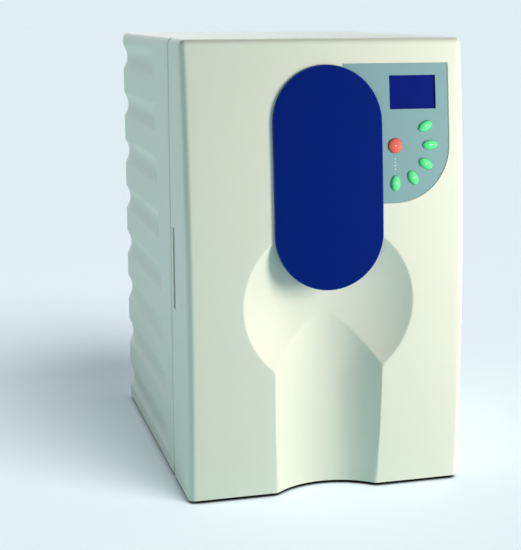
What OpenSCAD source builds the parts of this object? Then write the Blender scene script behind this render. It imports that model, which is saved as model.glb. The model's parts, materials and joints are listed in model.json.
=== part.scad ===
// Benchtop reverse osmosis unit for a laboratory.
// A fluted hood on a base tray, a deep front door with a dispense recess and a keypad,
// and inside it two membrane modules, two filters, a booster pump, valves and tubing.
// Millimetres, +Z up, the front faces -Y, the origin is on the bench under the middle of the cabinet.

/* [Cabinet] */
// Width of the cabinet
shell_w = 336; // [330:1:380]
// Depth of the cabinet with its door closed
shell_d = 440; // [420:1:520]
// Height of the shell above its feet
shell_h = 530; // [524:1:600]
// Gap between bench and shell, filled by the feet
foot_gap = 4; // [3:0.5:8]
// Wall thickness of the hood's sides
side_wall = 10; // [8:0.5:12]
// Wall thickness of the hood's top
top_wall = 8; // [5:0.5:10]
// Rounding of the long top edges
edge_r = 8; // [5:0.5:12]

/* [Side flutes] */
// Number of flutes on each side
flute_count = 8; // [4:1:10]
// Height of one flute
flute_h = 33; // [20:1:40]
// Depth of one flute
flute_depth = 5.5; // [2:0.5:6]
// Distance of the lowest flute's front end from the front
flute_start = 138; // [120:1:220]
// How far the front ends lean back for each millimetre of height
flute_lean = 0.138; // [0:0.01:0.3]

/* [Front door] */
// Depth of the door from its front-most line to the seam
door_depth = 97; // [92:1:110]
// Gap between door and hood
seam_gap = 2.2; // [1.6:0.1:3]
// Radius of the bowed front face
front_r = 2480; // [2300:10:4000]
// Height of the front-most line above the shell's lower edge
bow_z = 150; // [120:1:180]
// Wall thickness of the door
door_wall = 6; // [5:0.5:7]
// Rounding of the upright front edges
front_edge_r = 8; // [7.5:0.5:12]
// Rounding of the top front edge
brow_r = 7; // [4:0.5:10]
// Height of the finger pocket's lower end above the shell's lower edge
pocket_z = 214; // [150:1:260]
// Height of the finger pocket
pocket_h = 97; // [70:1:120]
// Distance of the pocket's gripping edge from the front
pocket_edge = 84.3; // [78:0.1:85]
// Length of the pocket's sloping floor
pocket_run = 22.6; // [15:0.1:30]
// Depth of the pocket at its gripping edge
pocket_depth = 9; // [6:0.5:12]

/* [Dispense recess] */
// Rim radius of the round dish
dish_r = 103; // [90:1:110]
// Depth of the dish
dish_depth = 28.4; // [24:0.1:34]
// Distance of the dish's centre below the shell's top
dish_drop = 304; // [296:1:318]
// Width of the upright trough below the dish
trough_w = 131; // [100:1:140]
// Depth of the trough
trough_depth = 28.9; // [20:0.1:30]

/* [Dispense cover] */
// Width of the long oval cover
cover_w = 131; // [110:1:132]
// Height of the cover's lower end above the dish's centre
cover_rise = 17; // [10:1:30]
// Distance of the cover's upper end below the shell's top
cover_drop = 29.5; // [22:0.5:50]
// Thickness of the cover
cover_t = 6; // [4:0.5:8]
// Rounding of the cover's front edge
cover_edge_r = 3; // [1:0.5:3.5]
// Diameter of the cover's pegs
peg_d = 8; // [6:0.5:10]
// Outer diameter of the dispense spout
spout_d = 11; // [8:0.5:12]

/* [Keypad] */
// Distance of the panel's left edge from the middle
panel_left = 20; // [12:1:30]
// Distance of the panel's top edge below the shell's top
panel_drop = 29; // [25:1:32]
// Thickness of the panel
panel_t = 1.2; // [1:0.1:1.4]
// How far the panel lies below the door's face
panel_sunk = 0.4; // [0.2:0.1:0.6]
// Radius of the panel's round lower corner, about the red key
panel_corner_r = 66; // [60:1:70]
// Distance of the red key from the middle
key_x = 81.5; // [80:0.5:86]
// Distance of the red key below the shell's top
key_drop = 123; // [120:1:128]
// Radius of the arc of green keys about the red key
key_ring_r = 43.3; // [40:0.1:46]
// Diameter of the red key
red_d = 17; // [14:0.5:19]
// Length of a green key
green_l = 18; // [14:0.5:19]
// Width of a green key
green_w = 11; // [8:0.5:12]
// Travel of a key
key_travel = 1; // [0.6:0.1:1.2]
// Width of the display's window
display_w = 57; // [50:1:60]
// Height of the display's window
display_h = 39; // [34:1:42]
// Distance of the display's middle from the cabinet's middle
display_x = 104.5; // [100:0.5:108]
// Distance of the display's middle below the shell's top
display_drop = 61.6; // [58:0.2:64]

/* [Hinge] */
// Outer radius of a hinge knuckle
knuckle_r = 5.5; // [4.5:0.5:7]
// Radius of a hinge pin
pin_r = 2.5; // [2:0.25:3]
// Length of one hinge
hinge_l = 60; // [40:1:80]
// Height of the lower hinge above the shell's lower edge
hinge_low = 80; // [60:1:140]
// Distance of the upper hinge below the shell's top
hinge_drop = 90; // [70:1:150]

/* [Water path] */
// Outer diameter of the tubing
tube_d = 8; // [6:0.5:9]
// Bend radius of the tubing
tube_bend = 18; // [14:1:20]
// Outer radius of a membrane housing
module_r = 29; // [26:0.5:30]
// Length of a membrane housing
module_l = 290; // [250:1:300]
// Distance between the two membrane housings
module_pitch = 66; // [65:0.5:72]
// Outer radius of a filter bowl's collar
filter_r = 33; // [30:0.5:35]
// Gap between a filter and the hood's side
filter_gap = 7; // [6:0.5:12]
// Length of a filter bowl
bowl_l = 236; // [180:1:260]
// Radius of the pump's motor
motor_r = 32; // [26:0.5:34]
// Length of the pump's motor
motor_l = 112; // [90:1:120]
// Width of the pump's head
pump_head_w = 60; // [52:1:66]
// Bore of the rear push-in fittings
fitting_bore_d = 8.2; // [6.2:0.1:9.2]

/* [Hidden] */
$fn = 64;
// Finest curve, for the bowed face
bow_fn = 256;
// Overrun of a cutting shape
over = 1;
// Clearance between pieces that slide or are slipped together
slip = 0.3;
// Running clearance of a pin in its bore
run = 0.05;
// How far the top's round starts outside the door's side
edge_slack = 0.1;

// Main planes
front_y = -shell_d / 2;
rear_y = shell_d / 2;
seam_y = front_y + door_depth;
door_rear_y = seam_y - seam_gap / 2;
hood_front_y = seam_y + seam_gap / 2;
base_z = foot_gap;
top_z = base_z + shell_h;
inner_hw = shell_w / 2 - side_wall;
inner_top_z = top_z - top_wall;

// Bowed front face: a large cylinder about an axis along X
bow_axis_y = front_y + front_r;
bow_axis_z = base_z + bow_z;
bow_up = asin((shell_h - bow_z + 20) / (front_r - door_depth - 20));
bow_down = asin((bow_z + 20) / (front_r - door_depth - 20));
function face_y(z) = bow_axis_y - sqrt(pow(front_r, 2) - pow(z - bow_axis_z, 2));
function face_tilt(z) = asin((z - bow_axis_z) / front_r);

// Heights of the front's features above the shell's lower edge
dish_z = shell_h - dish_drop;
cover_low = dish_z + cover_rise;
cover_high = shell_h - cover_drop;
panel_high = shell_h - panel_drop;
key_z = shell_h - key_drop;
display_z = shell_h - display_drop;
hinge_high = shell_h - hinge_drop;

// Round recess and trough
dish_ball_r = (pow(dish_r, 2) + pow(dish_depth, 2)) / (2 * dish_depth);
trough_r = (pow(trough_w / 2, 2) + pow(trough_depth, 2)) / (2 * trough_depth);

// Flutes
flute_r = (pow(flute_h / 2, 2) + pow(flute_depth, 2)) / (2 * flute_depth);
flute_pitch = shell_h / flute_count;

// Dispense cover
cover_hw = cover_w / 2;
cover_low_z = base_z + cover_low + cover_hw;
cover_high_z = base_z + cover_high - cover_hw;
cover_gap = 0.3;
cover_lap = 0.1;
cover_lap_a = 2;
peg_l = 10;
peg_zs = [cover_low_z + 30, cover_high_z + 20];

// Keypad
red_z = base_z + key_z;
key_angles = [30, 0, -30, -60, -90];
panel_floor = panel_sunk + panel_t;
key_gap = 0.35;
key_well_r = green_l / 2 + 1.6;
key_flange_t = 1;
key_flange_lip = 0.9;
// How far the bowed face falls away from the keypad's plane at the board's top
bow_drop = pow(base_z + panel_high - red_z, 2) / (2 * front_r);
board_gap = 4 + bow_drop;
board_t = 1.6;
board_front = door_wall + board_gap;
switch_t = 1.2;
plunger_r = 3;
plunger_end = board_front - switch_t - key_travel - 3 * slip;
lens_lip = 3;
lens_t = 1.6;
board_margin = 8;
board_left = panel_left + cover_hw / 2 + 4;
board_right = key_x + panel_corner_r - board_margin;
board_low = red_z - panel_corner_r + board_margin;
board_high = base_z + panel_high - board_margin + 4;
post_r = 3.5;
post_inset = 4.5;
display_rim = 6;

// Hinge
hinge_x = shell_w / 2;
hinge_y = seam_y;
hinge_zs = [base_z + hinge_low, base_z + hinge_high];
door_knuckle_l = hinge_l * 0.46;
hood_knuckle_l = (hinge_l - door_knuckle_l) / 2 - slip;
knuckle_clear = 0.4;

// Door catch
catch_drop = 130;
catch_z = top_z - catch_drop;
catch_l = 30;
catch_w = 5;
catch_t = 4;
catch_proud = seam_gap / 2 - slip / 2;
strike_t = 2.5;

// Rear panel
panel_recess = 6;
rear_sheet_t = 3;
lip_w = 9;
lip_t = 6;
rear_face_y = rear_y - panel_recess;
rear_sheet_y = rear_face_y - rear_sheet_t;
rear_hw = inner_hw - slip;
screw_r = 2;
screw_head_r = 4;
screw_head_t = 2.2;

// Base tray and feet
tray_t = 3;
tray_rim_t = 2;
tray_rim_h = 22;
tray_z = base_z + tray_t;
tray_front_y = hood_front_y + 2;
foot_r = 14;
foot_stud_r = 3;
foot_inset = 32;
foot_xs = [-inner_hw + foot_inset, inner_hw - foot_inset];
foot_ys = [hood_front_y + foot_inset, rear_sheet_y - foot_inset];

// Front bay: module row, front ports and the plane of the front tubes
tube_r = tube_d / 2;
port_r = tube_r + 3;
bay_front_clear = 19;
tube_y = hood_front_y + bay_front_clear + tube_r;
port_y = tube_y + tube_bend + 6;
nipple_l = 9;
row_y = port_y + nipple_l + filter_r - 2;
module_xs = [-module_pitch / 2, module_pitch / 2];
filter_x = inner_hw - filter_gap - filter_r;
filter_xs = [-filter_x, filter_x];
standoff = 14;
chassis_y = row_y + filter_r + standoff - 4;
chassis_t = 2;
chassis_rear_y = chassis_y + chassis_t;
chassis_hw = inner_hw - 8;
chassis_return = 16;
row_z = inner_top_z - 74;
chassis_top_z = row_z + 24;

// Membrane modules
module_wall = 4;
module_top_z = row_z - 14;
module_low_z = module_top_z - module_l;
module_port_z = module_low_z + 16;
cap_r = module_r + 2;
cap_h = 30;
cap_z = module_top_z + cap_h;
cap_nipple_h = 12;
clip_h = 16;
clip_wall = 3;
clip_foot_w = 28;
clip_mouth = 12;
clip_zs = [module_low_z + 60, module_top_z - 60];
permeate_bend = 15;
cell_z = cap_z + cap_nipple_h + permeate_bend + 6;
cell_r = 9;
cell_tube_l = 4;
cell_hl = module_pitch / 2 - permeate_bend - cell_tube_l;

// Filters
head_h = 36;
bowl_top_z = row_z - head_h / 2;
bowl_low_z = bowl_top_z - bowl_l;
bowl_r = filter_r - 4;
bowl_wall = 3;
collar_h = 18;
stub_x = 18;
stub_l = 16;
stub_r = tube_r + 2;
polish_port_dx = 13;

// Pump and the low line of valves
line_z = tray_z + 22 + motor_r;
pump_y = row_y + 2;
pump_head_x = -24;
pump_in_x = pump_head_x - 38;
pump_out_x = module_xs[0];
pump_head_h = 58;
valve_r = 13;
coil_w = 30;
coil_l = 34;
coil_h = 36;
valve_x = filter_x + 6;
flush_rear_y = chassis_y - 10;
inlet_x = -filter_x + stub_x;
inlet_front_y = rear_sheet_y - 110;
inlet_rear_y = rear_sheet_y - 46;

// Rear fittings
fitting_r = fitting_bore_d / 2 + 3.6;
fitting_flange_r = fitting_r + 4;
fitting_flange_t = 6;
fitting_out_l = 14;
fitting_in_l = 24;
collet_lip_r = fitting_bore_d / 2 + 2.2;
collet_r = fitting_bore_d / 2 + 1;
collet_l = 9;
collet_lip_t = 2;
collet_travel = 1.2;
socket_l = 16;
product_x = filter_x - stub_x;
product_z = line_z + 60;
fittings = [[inlet_x, line_z], [valve_x, line_z], [product_x, product_z]];

// Vent slots of the rear panel
vent_count = 10;
vent_pitch = 16;
vent_w = 5;
vent_h = 40;
vent_drop = 48;
vent_row_pitch = 52;
vent_margin = 6;

// Mains inlet with its switch
mains_x = -70;
mains_z = row_z - 60;
mains_w = 50;
mains_h = 62;
mains_bezel_t = 3;
mains_depth = 30;
mains_lip = 4;
mains_corner_r = 4;
plug_corner_r = 3;
pin_pitch = 7;
pin_w = 2;
pin_h = 4;
pin_short = 3;
pin_step = 3;
rocker_well = 9;
plug_w = 24.6;
plug_h = 16.8;
plug_deep = 17;
plug_dz = -14;
rocker_w = 20;
rocker_h = 13;
rocker_dz = 17;
rocker_pin_r = 1.5;
rocker_tilt = 8;

// Electronics
supply_w = 96;
supply_h = 170;
supply_d = 48;
supply_x = 28;
supply_vent_w = 30;
supply_vent_h = 5;
supply_vent_pitch = 13;
supply_vent_deep = 4;
supply_vent_rows = 5;
supply_z = row_z - 130;
main_board_w = 100;
main_board_h = 220;
main_board_x = -filter_x + 34;
main_board_z = row_z - 120;
main_board_gap = 8;
standoff_r = 3.5;
standoff_inset = 5;
relay = [14, 12, 22];
relay_pitch = 19;
relay_lift = 26;
can_r = 8;
can_l = 20;
can_pitch = 26;
can_drop = 40;
chip_w = 36;
chip_t = 4;
header = [10, 9, 34];
header_inset = 2;
header_lift = 20;

// Ribbon and hose that cross the hinge
ribbon_w = 20;
ribbon_t = 1.2;
ribbon_x = inner_hw - 4;
ribbon_z = board_low + 30;
valve_out_z = base_z + dish_z + 63;
spout_gap = 0.6;
spout_y = round(10 * (face_y(valve_out_z) + spout_d / 2 + spout_gap)) / 10;
spout_tip_z = base_z + cover_low + 9;
spout_bend = spout_d / 2 + 7;
stub_end_y = front_y + 44;
hose_gap = 0.5;
dispense_w = 34;
dispense_l = 38;

// Colours
ivory = [0.93, 0.93, 0.88];
deep_blue = [0.05, 0.12, 0.5];
pale_teal = [0.58, 0.72, 0.73];
key_green = [0.3, 0.76, 0.46];
key_red = [0.96, 0.32, 0.28];
rubber = [0.1, 0.1, 0.11];
steel = [0.72, 0.73, 0.75];
white_plastic = [0.92, 0.93, 0.94];
grey_plastic = [0.45, 0.47, 0.5];
circuit = [0.05, 0.35, 0.2];
tube_white = [0.88, 0.92, 0.96];

// General shapes

// Places children on the bowed face at x and height z, with local +Z straight out of the face
module at_face(x, z)
    translate([x, face_y(z), z]) rotate([90 - face_tilt(z), 0, 0]) children();

// Places children on the keypad's own tilt, which is the face's tilt at the red key
module at_keypad(x, z)
    translate([x, face_y(z), z]) rotate([90 - face_tilt(red_z), 0, 0]) children();

// Lays a flat outline of X and Z along Y, from y backwards to the front over length l
module along_y(y, l)
    translate([0, y, 0]) rotate([90, 0, 0]) linear_extrude(l) children();

// Upright cylinder on its side, along +Y from y
module y_rod(x, y, z, r, l)
    translate([x, y, z]) rotate([-90, 0, 0]) cylinder(r = r, h = l);

// Rectangle standing on y = 0 with two round top corners
module arch_outline(w, h, r) {
    translate([-w / 2, 0]) square([w, h - r]);
    translate([-w / 2 + r, 0]) square([w - 2 * r, h]);
    for (s = [-1, 1]) translate([s * (w / 2 - r), h - r]) circle(r);
}

// Rectangle with four round corners about the origin
module round_rect(w, h, r) {
    square([w - 2 * r, h], center = true);
    square([w, h - 2 * r], center = true);
    for (sx = [-1, 1], sy = [-1, 1]) translate([sx * (w / 2 - r), sy * (h / 2 - r)]) circle(r);
}

// Ellipse outline
module ellipse(l, w) polygon([for (a = [0:7.5:359]) [l / 2 * cos(a), w / 2 * sin(a)]]);

// Turns +Z to direction v
module aim(v) rotate([0, acos(v.z / norm(v)), atan2(v.y, v.x)]) children();

function unit(v) = v / norm(v);
function turn_angle(a, b, c) = acos(unit(b - a) * unit(c - b));
function cut_back(a, b, c, bend) = bend * tan(turn_angle(a, b, c) / 2);

// Round tube along a list of points, with every corner bent to one radius
module pipe(pts, r, bend) {
    last = len(pts) - 1;
    for (i = [0:last - 1]) {
        dir = unit(pts[i + 1] - pts[i]);
        from = i == 0 ? pts[i] : pts[i] + dir * cut_back(pts[i - 1], pts[i], pts[i + 1], bend);
        to = i == last - 1 ? pts[i + 1]
            : pts[i + 1] - dir * cut_back(pts[i], pts[i + 1], pts[i + 2], bend);
        translate(from) aim(dir) cylinder(r = r, h = norm(to - from));
    }
    for (i = [1:1:last - 1]) {
        u = unit(pts[i] - pts[i - 1]);
        w = unit(pts[i + 1] - pts[i]);
        n = unit(cross(u, w));
        from = pts[i] - u * cut_back(pts[i - 1], pts[i], pts[i + 1], bend);
        x = cross(u, n);
        c = from - x * bend;
        multmatrix([[x.x, u.x, n.x, c.x], [x.y, u.y, n.y, c.y], [x.z, u.z, n.z, c.z], [0, 0, 0, 1]])
            rotate_extrude(angle = turn_angle(pts[i - 1], pts[i], pts[i + 1]))
                translate([bend, 0]) circle(r);
    }
}

// Slab that follows the bowed face, its outer edges rounded, drawn in by inset
module bowed_slab(w, depth, r, inset)
    translate([0, bow_axis_y, bow_axis_z]) rotate([0, 90, 0]) rotate([0, 0, -90 - bow_up])
        rotate_extrude(angle = bow_up + bow_down, $fn = bow_fn) translate([front_r - inset, 0]) {
            translate([-depth, -w / 2]) square([depth - r, w]);
            translate([-depth, -w / 2 + r]) square([depth, w - 2 * r]);
            for (s = [-1, 1]) translate([-r, s * (w / 2 - r)]) circle(r);
        }

// Everything between two depths under the bowed face
module face_layer(from, to)
    translate([-shell_w, bow_axis_y, bow_axis_z]) rotate([0, 90, 0]) difference() {
        cylinder(r = front_r - from, h = 2 * shell_w, $fn = bow_fn);
        translate([0, 0, -over]) cylinder(r = front_r - to, h = 2 * shell_w + 2 * over, $fn = bow_fn);
    }

// Cabinet

module flute_cuts()
    for (i = [0:flute_count - 1], s = [-1, 1]) {
        z = (i + 0.5) * flute_pitch;
        y = front_y + flute_start + flute_lean * z;
        y_rod(s * (shell_w / 2 - flute_depth + flute_r), y, base_z + z, flute_r, rear_y - y + over);
    }

module hood_knuckles(r, grow)
    for (z = hinge_zs, s = [-1, 1])
        translate([hinge_x, hinge_y, z + s * (hinge_l - hood_knuckle_l) / 2])
            cylinder(r = r, h = hood_knuckle_l + grow, center = true);

module door_knuckles(r, grow)
    for (z = hinge_zs)
        translate([hinge_x, hinge_y, z]) cylinder(r = r, h = door_knuckle_l + grow, center = true);

module pin_bores()
    for (z = hinge_zs)
        translate([hinge_x, hinge_y, z]) cylinder(r = pin_r + run, h = hinge_l + 2 * over, center = true);

module rear_screw_spots()
    for (s = [-1, 1], t = [0.08, 0.36, 0.64, 0.92])
        translate([s * (inner_hw - lip_w / 2 - slip), 0, base_z + t * (shell_h - top_wall)]) children();

module cabinet_hood()
    color(ivory) difference() {
        union() {
            difference() {
                translate([0, 0, base_z]) along_y(rear_y, rear_y - hood_front_y)
                    arch_outline(shell_w, shell_h, edge_r);
                translate([0, 0, base_z - over]) along_y(rear_y + over, rear_y - hood_front_y + 2 * over)
                    arch_outline(2 * inner_hw, shell_h - top_wall + over, edge_r / 2);
            }
            for (s = [-1, 1])
                translate([s * (inner_hw - lip_w / 2 + over / 2) - lip_w / 2 - over / 2,
                    rear_sheet_y - lip_t, base_z])
                    cube([lip_w + over, lip_t, shell_h - top_wall + over]);
            hood_knuckles(knuckle_r, 0);
        }
        flute_cuts();
        door_knuckles(knuckle_r + knuckle_clear, 2 * slip);
        pin_bores();
        rear_screw_spots() y_rod(0, rear_sheet_y - lip_t - over, 0, screw_r, lip_t + 2 * over);
        translate([-shell_w / 2 + side_wall / 2 - catch_w / 2, hood_front_y - over, catch_z - catch_l / 2])
            cube([catch_w, catch_t + over, catch_l]);
    }

module catch_magnet()
    color(rubber) translate([-shell_w / 2 + side_wall / 2 - catch_w / 2, hood_front_y - catch_proud,
        catch_z - catch_l / 2]) cube([catch_w, catch_t + catch_proud, catch_l]);

module hinge_pins()
    color(steel) for (z = hinge_zs)
        translate([hinge_x, hinge_y, z]) cylinder(r = pin_r, h = hinge_l, center = true);

// Two rows of slots; the lower row leaves out those that the mains inlet would cover
module vent_slots()
    for (i = [0:vent_count - 1], row = [0, 1]) {
        x = (i - (vent_count - 1) / 2) * vent_pitch;
        if (row == 0 || abs(x - mains_x) > (mains_w + vent_w) / 2 + vent_margin)
            translate([x, 0, inner_top_z - vent_drop - row * vent_row_pitch])
                along_y(rear_face_y + over, rear_sheet_t + 2 * over) round_rect(vent_w, vent_h, 0.48 * vent_w);
    }

module rear_panel()
    color(steel) difference() {
        translate([0, 0, base_z]) along_y(rear_face_y, rear_sheet_t)
            arch_outline(2 * rear_hw, shell_h - top_wall - slip, edge_r / 2);
        vent_slots();
        rear_screw_spots() y_rod(0, rear_sheet_y - over, 0, screw_r + slip, rear_sheet_t + 2 * over);
        for (f = fittings) y_rod(f[0], rear_sheet_y - over, f[1], fitting_r + slip, rear_sheet_t + 2 * over);
        translate([mains_x - mains_w / 2 + mains_lip, rear_sheet_y - over, mains_z - mains_h / 2 + mains_lip])
            cube([mains_w - 2 * mains_lip, rear_sheet_t + 2 * over, mains_h - 2 * mains_lip]);
    }

module panel_screws()
    color(steel) rear_screw_spots() {
        y_rod(0, rear_sheet_y - lip_t, 0, screw_r, lip_t + rear_sheet_t);
        difference() {
            y_rod(0, rear_face_y, 0, screw_head_r, screw_head_t);
            translate([-0.6, rear_face_y + screw_head_t - 1, -screw_head_r]) cube([1.2, over + 1, 2 * screw_head_r]);
            translate([-screw_head_r, rear_face_y + screw_head_t - 1, -0.6]) cube([2 * screw_head_r, over + 1, 1.2]);
        }
    }

module base_tray() {
    hw = inner_hw - slip;
    l = rear_sheet_y - tray_front_y;
    color(steel) difference() {
        union() {
            translate([-hw, tray_front_y, base_z]) cube([2 * hw, l, tray_t]);
            for (s = [-1, 1])
                translate([s * (hw - tray_rim_t / 2) - tray_rim_t / 2, tray_front_y, base_z])
                    cube([tray_rim_t, l - lip_t - slip, tray_rim_h]);
            translate([-hw, tray_front_y, base_z]) cube([2 * hw, tray_rim_t, tray_rim_h / 2]);
        }
        for (s = [-1, 1])
            translate([s * (hw - lip_w / 2 + over / 2) - lip_w / 2 - over / 2,
                rear_sheet_y - lip_t - slip, base_z - over])
                cube([lip_w + over, lip_t + slip + over, tray_t + 2 * over]);
        for (x = foot_xs, y = foot_ys)
            translate([x, y, base_z - over]) cylinder(r = foot_stud_r + run, h = tray_t + 2 * over);
    }
}

module rubber_feet()
    color(rubber) for (x = foot_xs, y = foot_ys) translate([x, y, 0]) {
        cylinder(r1 = foot_r - 1, r2 = foot_r, h = foot_gap);
        cylinder(r = foot_stud_r, h = foot_gap + tray_t);
        translate([0, 0, foot_gap + tray_t]) cylinder(r1 = foot_stud_r + 1.5, r2 = foot_stud_r, h = 3);
    }

module chassis_plate()
    color(steel) difference() {
        union() {
            translate([-chassis_hw, chassis_y, tray_z]) cube([2 * chassis_hw, chassis_t, chassis_top_z - tray_z]);
            translate([-chassis_hw, chassis_y, tray_z]) cube([2 * chassis_hw, chassis_return, chassis_t]);
            translate([-chassis_hw, chassis_y, chassis_top_z - chassis_t])
                cube([2 * chassis_hw, chassis_return, chassis_t]);
            for (s = [-1, 1])
                translate([s * (chassis_hw - chassis_t / 2) - chassis_t / 2, chassis_y, tray_z])
                    cube([chassis_t, chassis_return, chassis_top_z - tray_z]);
        }
        for (x = [inlet_x, product_x]) y_rod(x, chassis_y - over, row_z, stub_r + slip, chassis_t + 2 * over);
        y_rod(valve_x, chassis_y - over, line_z, tube_r + 2, chassis_t + 2 * over);
        for (x = [-1, 1]) translate([x * 34, 0, line_z + 24])
            along_y(chassis_rear_y + over, chassis_t + 2 * over) round_rect(24, 60, 6);
    }

// Door

// The door's block, drawn in by inset on every side but the open rear
module door_form(inset, rear)
    intersection() {
        bowed_slab(shell_w - 2 * inset, door_depth + 6, max(front_edge_r - inset, 1), inset);
        translate([0, 0, base_z + inset]) along_y(rear, door_depth + 20)
            arch_outline(shell_w - 2 * inset + 2 * edge_slack, shell_h - 2 * inset, max(edge_r - inset, 1));
    }

// The waste outside the round of the top front edge
module brow_waste(r, z_top, skin) {
    cz = z_top - r;
    cy = bow_axis_y - sqrt(pow(front_r - skin - r, 2) - pow(cz - bow_axis_z, 2));
    u = unit([cy - bow_axis_y, cz - bow_axis_z]);
    translate([-shell_w / 2 - over, 0, 0]) rotate([90, 0, 90]) linear_extrude(shell_w + 2 * over)
        difference() {
            polygon([[cy, cz], [cy, z_top + over], [cy - 3 * r, z_top + over], [cy, cz] + 3 * r * u]);
            translate([cy, cz]) circle(r);
        }
}

module dish(grow)
    at_face(0, base_z + dish_z) translate([0, 0, dish_ball_r - dish_depth]) sphere(dish_ball_r + grow, $fn = 128);

module trough(grow)
    translate([0, front_y + trough_depth - trough_r, base_z - over])
        cylinder(r = trough_r + grow, h = dish_z + over, $fn = 128);

// Finger pocket: a wedge cut into the door's left side, with its gripping edge at the back
module pocket_wedge(grow) {
    x = -shell_w / 2;
    y = front_y + pocket_edge;
    translate([0, 0, base_z + pocket_z - grow]) linear_extrude(pocket_h + 2 * grow)
        polygon([[x - over, y + grow], [x - over, y - pocket_run - 2 * grow], [x, y - pocket_run - 2 * grow],
            [x + pocket_depth + grow, y], [x + pocket_depth + grow, y + grow]]);
}

module panel_outline(grow) {
    right = key_x + panel_corner_r;
    intersection() {
        union() {
            translate([panel_left - grow, red_z])
                square([right - panel_left + 2 * grow, base_z + panel_high + grow - red_z]);
            translate([panel_left - grow, red_z - panel_corner_r - grow])
                square([key_x - panel_left + grow, panel_corner_r + grow]);
            translate([key_x, red_z]) circle(panel_corner_r + grow, $fn = 128);
        }
        translate([panel_left - grow, 0]) square([shell_w, 2 * shell_h]);
    }
}

module at_green(a)
    at_keypad(key_x + key_ring_r * cos(a), red_z + key_ring_r * sin(a)) rotate([0, 0, a]) children();

module board_posts()
    for (x = [board_left + post_inset, board_right - post_inset], z = [board_low + post_inset, board_high - post_inset])
        at_board(x, z) children();

// Places children on the keypad board's plane, square to the keypad's tilt
module at_board(x, z)
    translate([key_x, face_y(red_z), red_z]) rotate([90 - face_tilt(red_z), 0, 0])
        translate([x - key_x, (z - red_z) / cos(face_tilt(red_z)), -board_front]) children();

module front_door()
    color(ivory) difference() {
        union() {
            difference() {
                difference() {
                    door_form(0, door_rear_y);
                    brow_waste(brow_r, top_z, 0);
                }
                door_form(door_wall, door_rear_y + over);
            }
            intersection() {
                difference() {
                    door_form(0, door_rear_y);
                    brow_waste(brow_r, top_z, 0);
                }
                union() {
                    dish(door_wall);
                    trough(door_wall);
                    pocket_wedge(door_wall);
                }
            }
            board_posts() cylinder(r = post_r, h = board_gap + over);
            door_knuckles(knuckle_r, 0);
        }
        dish(0);
        trough(0);
        pocket_wedge(0);
        hood_knuckles(knuckle_r + knuckle_clear, 2 * slip);
        pin_bores();
        intersection() {
            along_y(seam_y, door_depth + 20) panel_outline(0.3);
            face_layer(-20, panel_floor);
        }
        at_keypad(key_x, red_z) translate([0, 0, -door_wall - 3]) cylinder(r = key_well_r, h = door_wall + 10);
        for (a = key_angles) at_green(a) translate([0, 0, -door_wall - 3]) cylinder(r = key_well_r, h = door_wall + 10);
        at_face(display_x, base_z + display_z) {
            linear_extrude(24, center = true) square([display_w - 2, display_h - 2], center = true);
            translate([0, 0, -panel_floor - slip - lens_t]) linear_extrude(20)
                square([display_w + 2 * lens_lip + slip, display_h + 2 * lens_lip + slip], center = true);
        }
        for (z = peg_zs) at_face(0, z) translate([0, 0, -door_wall - 5]) cylinder(d = peg_d + 2 * run, h = door_wall + 10);
        y_rod(0, front_y, valve_out_z, spout_d / 2 + run, 60);
        translate([-shell_w / 2 + side_wall / 2 - catch_w / 2, door_rear_y - strike_t, catch_z - catch_l / 2])
            cube([catch_w, strike_t + over, catch_l]);
    }

module catch_strike()
    color(steel) translate([-shell_w / 2 + side_wall / 2 - catch_w / 2, door_rear_y - strike_t,
        catch_z - catch_l / 2]) cube([catch_w, strike_t + catch_proud, catch_l]);

// Half section of the cover across its width: flat back at low, rounded front edge
module cover_section(hw, low, t) {
    r = min(cover_edge_r, (t - low - edge_slack) / 2);
    translate([0, low]) square([hw, t - low - r]);
    translate([0, low]) square([hw - r, t - low]);
    translate([hw - r, t - r]) circle(r);
}

// Round end of the cover, lapped a little into the straight length
module cover_end()
    rotate([0, 0, -cover_lap_a]) rotate_extrude(angle = 180 + 2 * cover_lap_a, $fn = 128)
        cover_section(cover_hw, cover_gap + cover_lap, cover_t);

module dispense_cover() {
    low = face_tilt(cover_low_z);
    high = face_tilt(cover_high_z);
    hw = cover_hw - cover_lap;
    color(deep_blue) {
        translate([0, bow_axis_y, bow_axis_z]) rotate([0, 90, 0]) rotate([0, 0, -90 - high])
            rotate_extrude(angle = high - low, $fn = bow_fn) translate([front_r, 0]) rotate([0, 0, -90]) {
                cover_section(hw, cover_gap, cover_t - cover_lap);
                mirror([1, 0]) cover_section(hw, cover_gap, cover_t - cover_lap);
            }
        at_face(0, cover_high_z) cover_end();
        at_face(0, cover_low_z) rotate([0, 0, 180]) cover_end();
        for (z = peg_zs) at_face(0, z) translate([0, 0, -peg_l]) cylinder(d = peg_d, h = peg_l + 2);
    }
}

module dispense_nozzle()
    color(white_plastic) difference() {
        union() {
            pipe([[0, stub_end_y, valve_out_z], [0, spout_y, valve_out_z], [0, spout_y, spout_tip_z]],
                spout_d / 2, spout_bend);
            translate([0, spout_y, spout_tip_z]) cylinder(r1 = spout_d / 2 + 0.6, r2 = spout_d / 2, h = 6);
        }
        translate([0, spout_y, spout_tip_z - over]) cylinder(d = spout_d - 5, h = 8 + over);
    }

module dispense_valve() {
    y = stub_end_y;
    color(grey_plastic) {
        difference() {
            translate([-dispense_w / 2, y, valve_out_z - dispense_w / 2]) cube([dispense_w, dispense_l, dispense_w]);
            for (sx = [-1, 1], sz = [-1, 1])
                y_rod(sx * (dispense_w / 2 - 5), y - over, valve_out_z + sz * (dispense_w / 2 - 5), 1.6, dispense_l + 2 * over);
        }
        translate([0, y + dispense_l / 2, valve_out_z + dispense_w / 2]) cylinder(r = 12, h = 28);
        translate([dispense_w / 2, y + dispense_l / 2, valve_out_z]) rotate([0, 90, 0]) cylinder(r = port_r - 1, h = nipple_l);
    }
}

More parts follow.
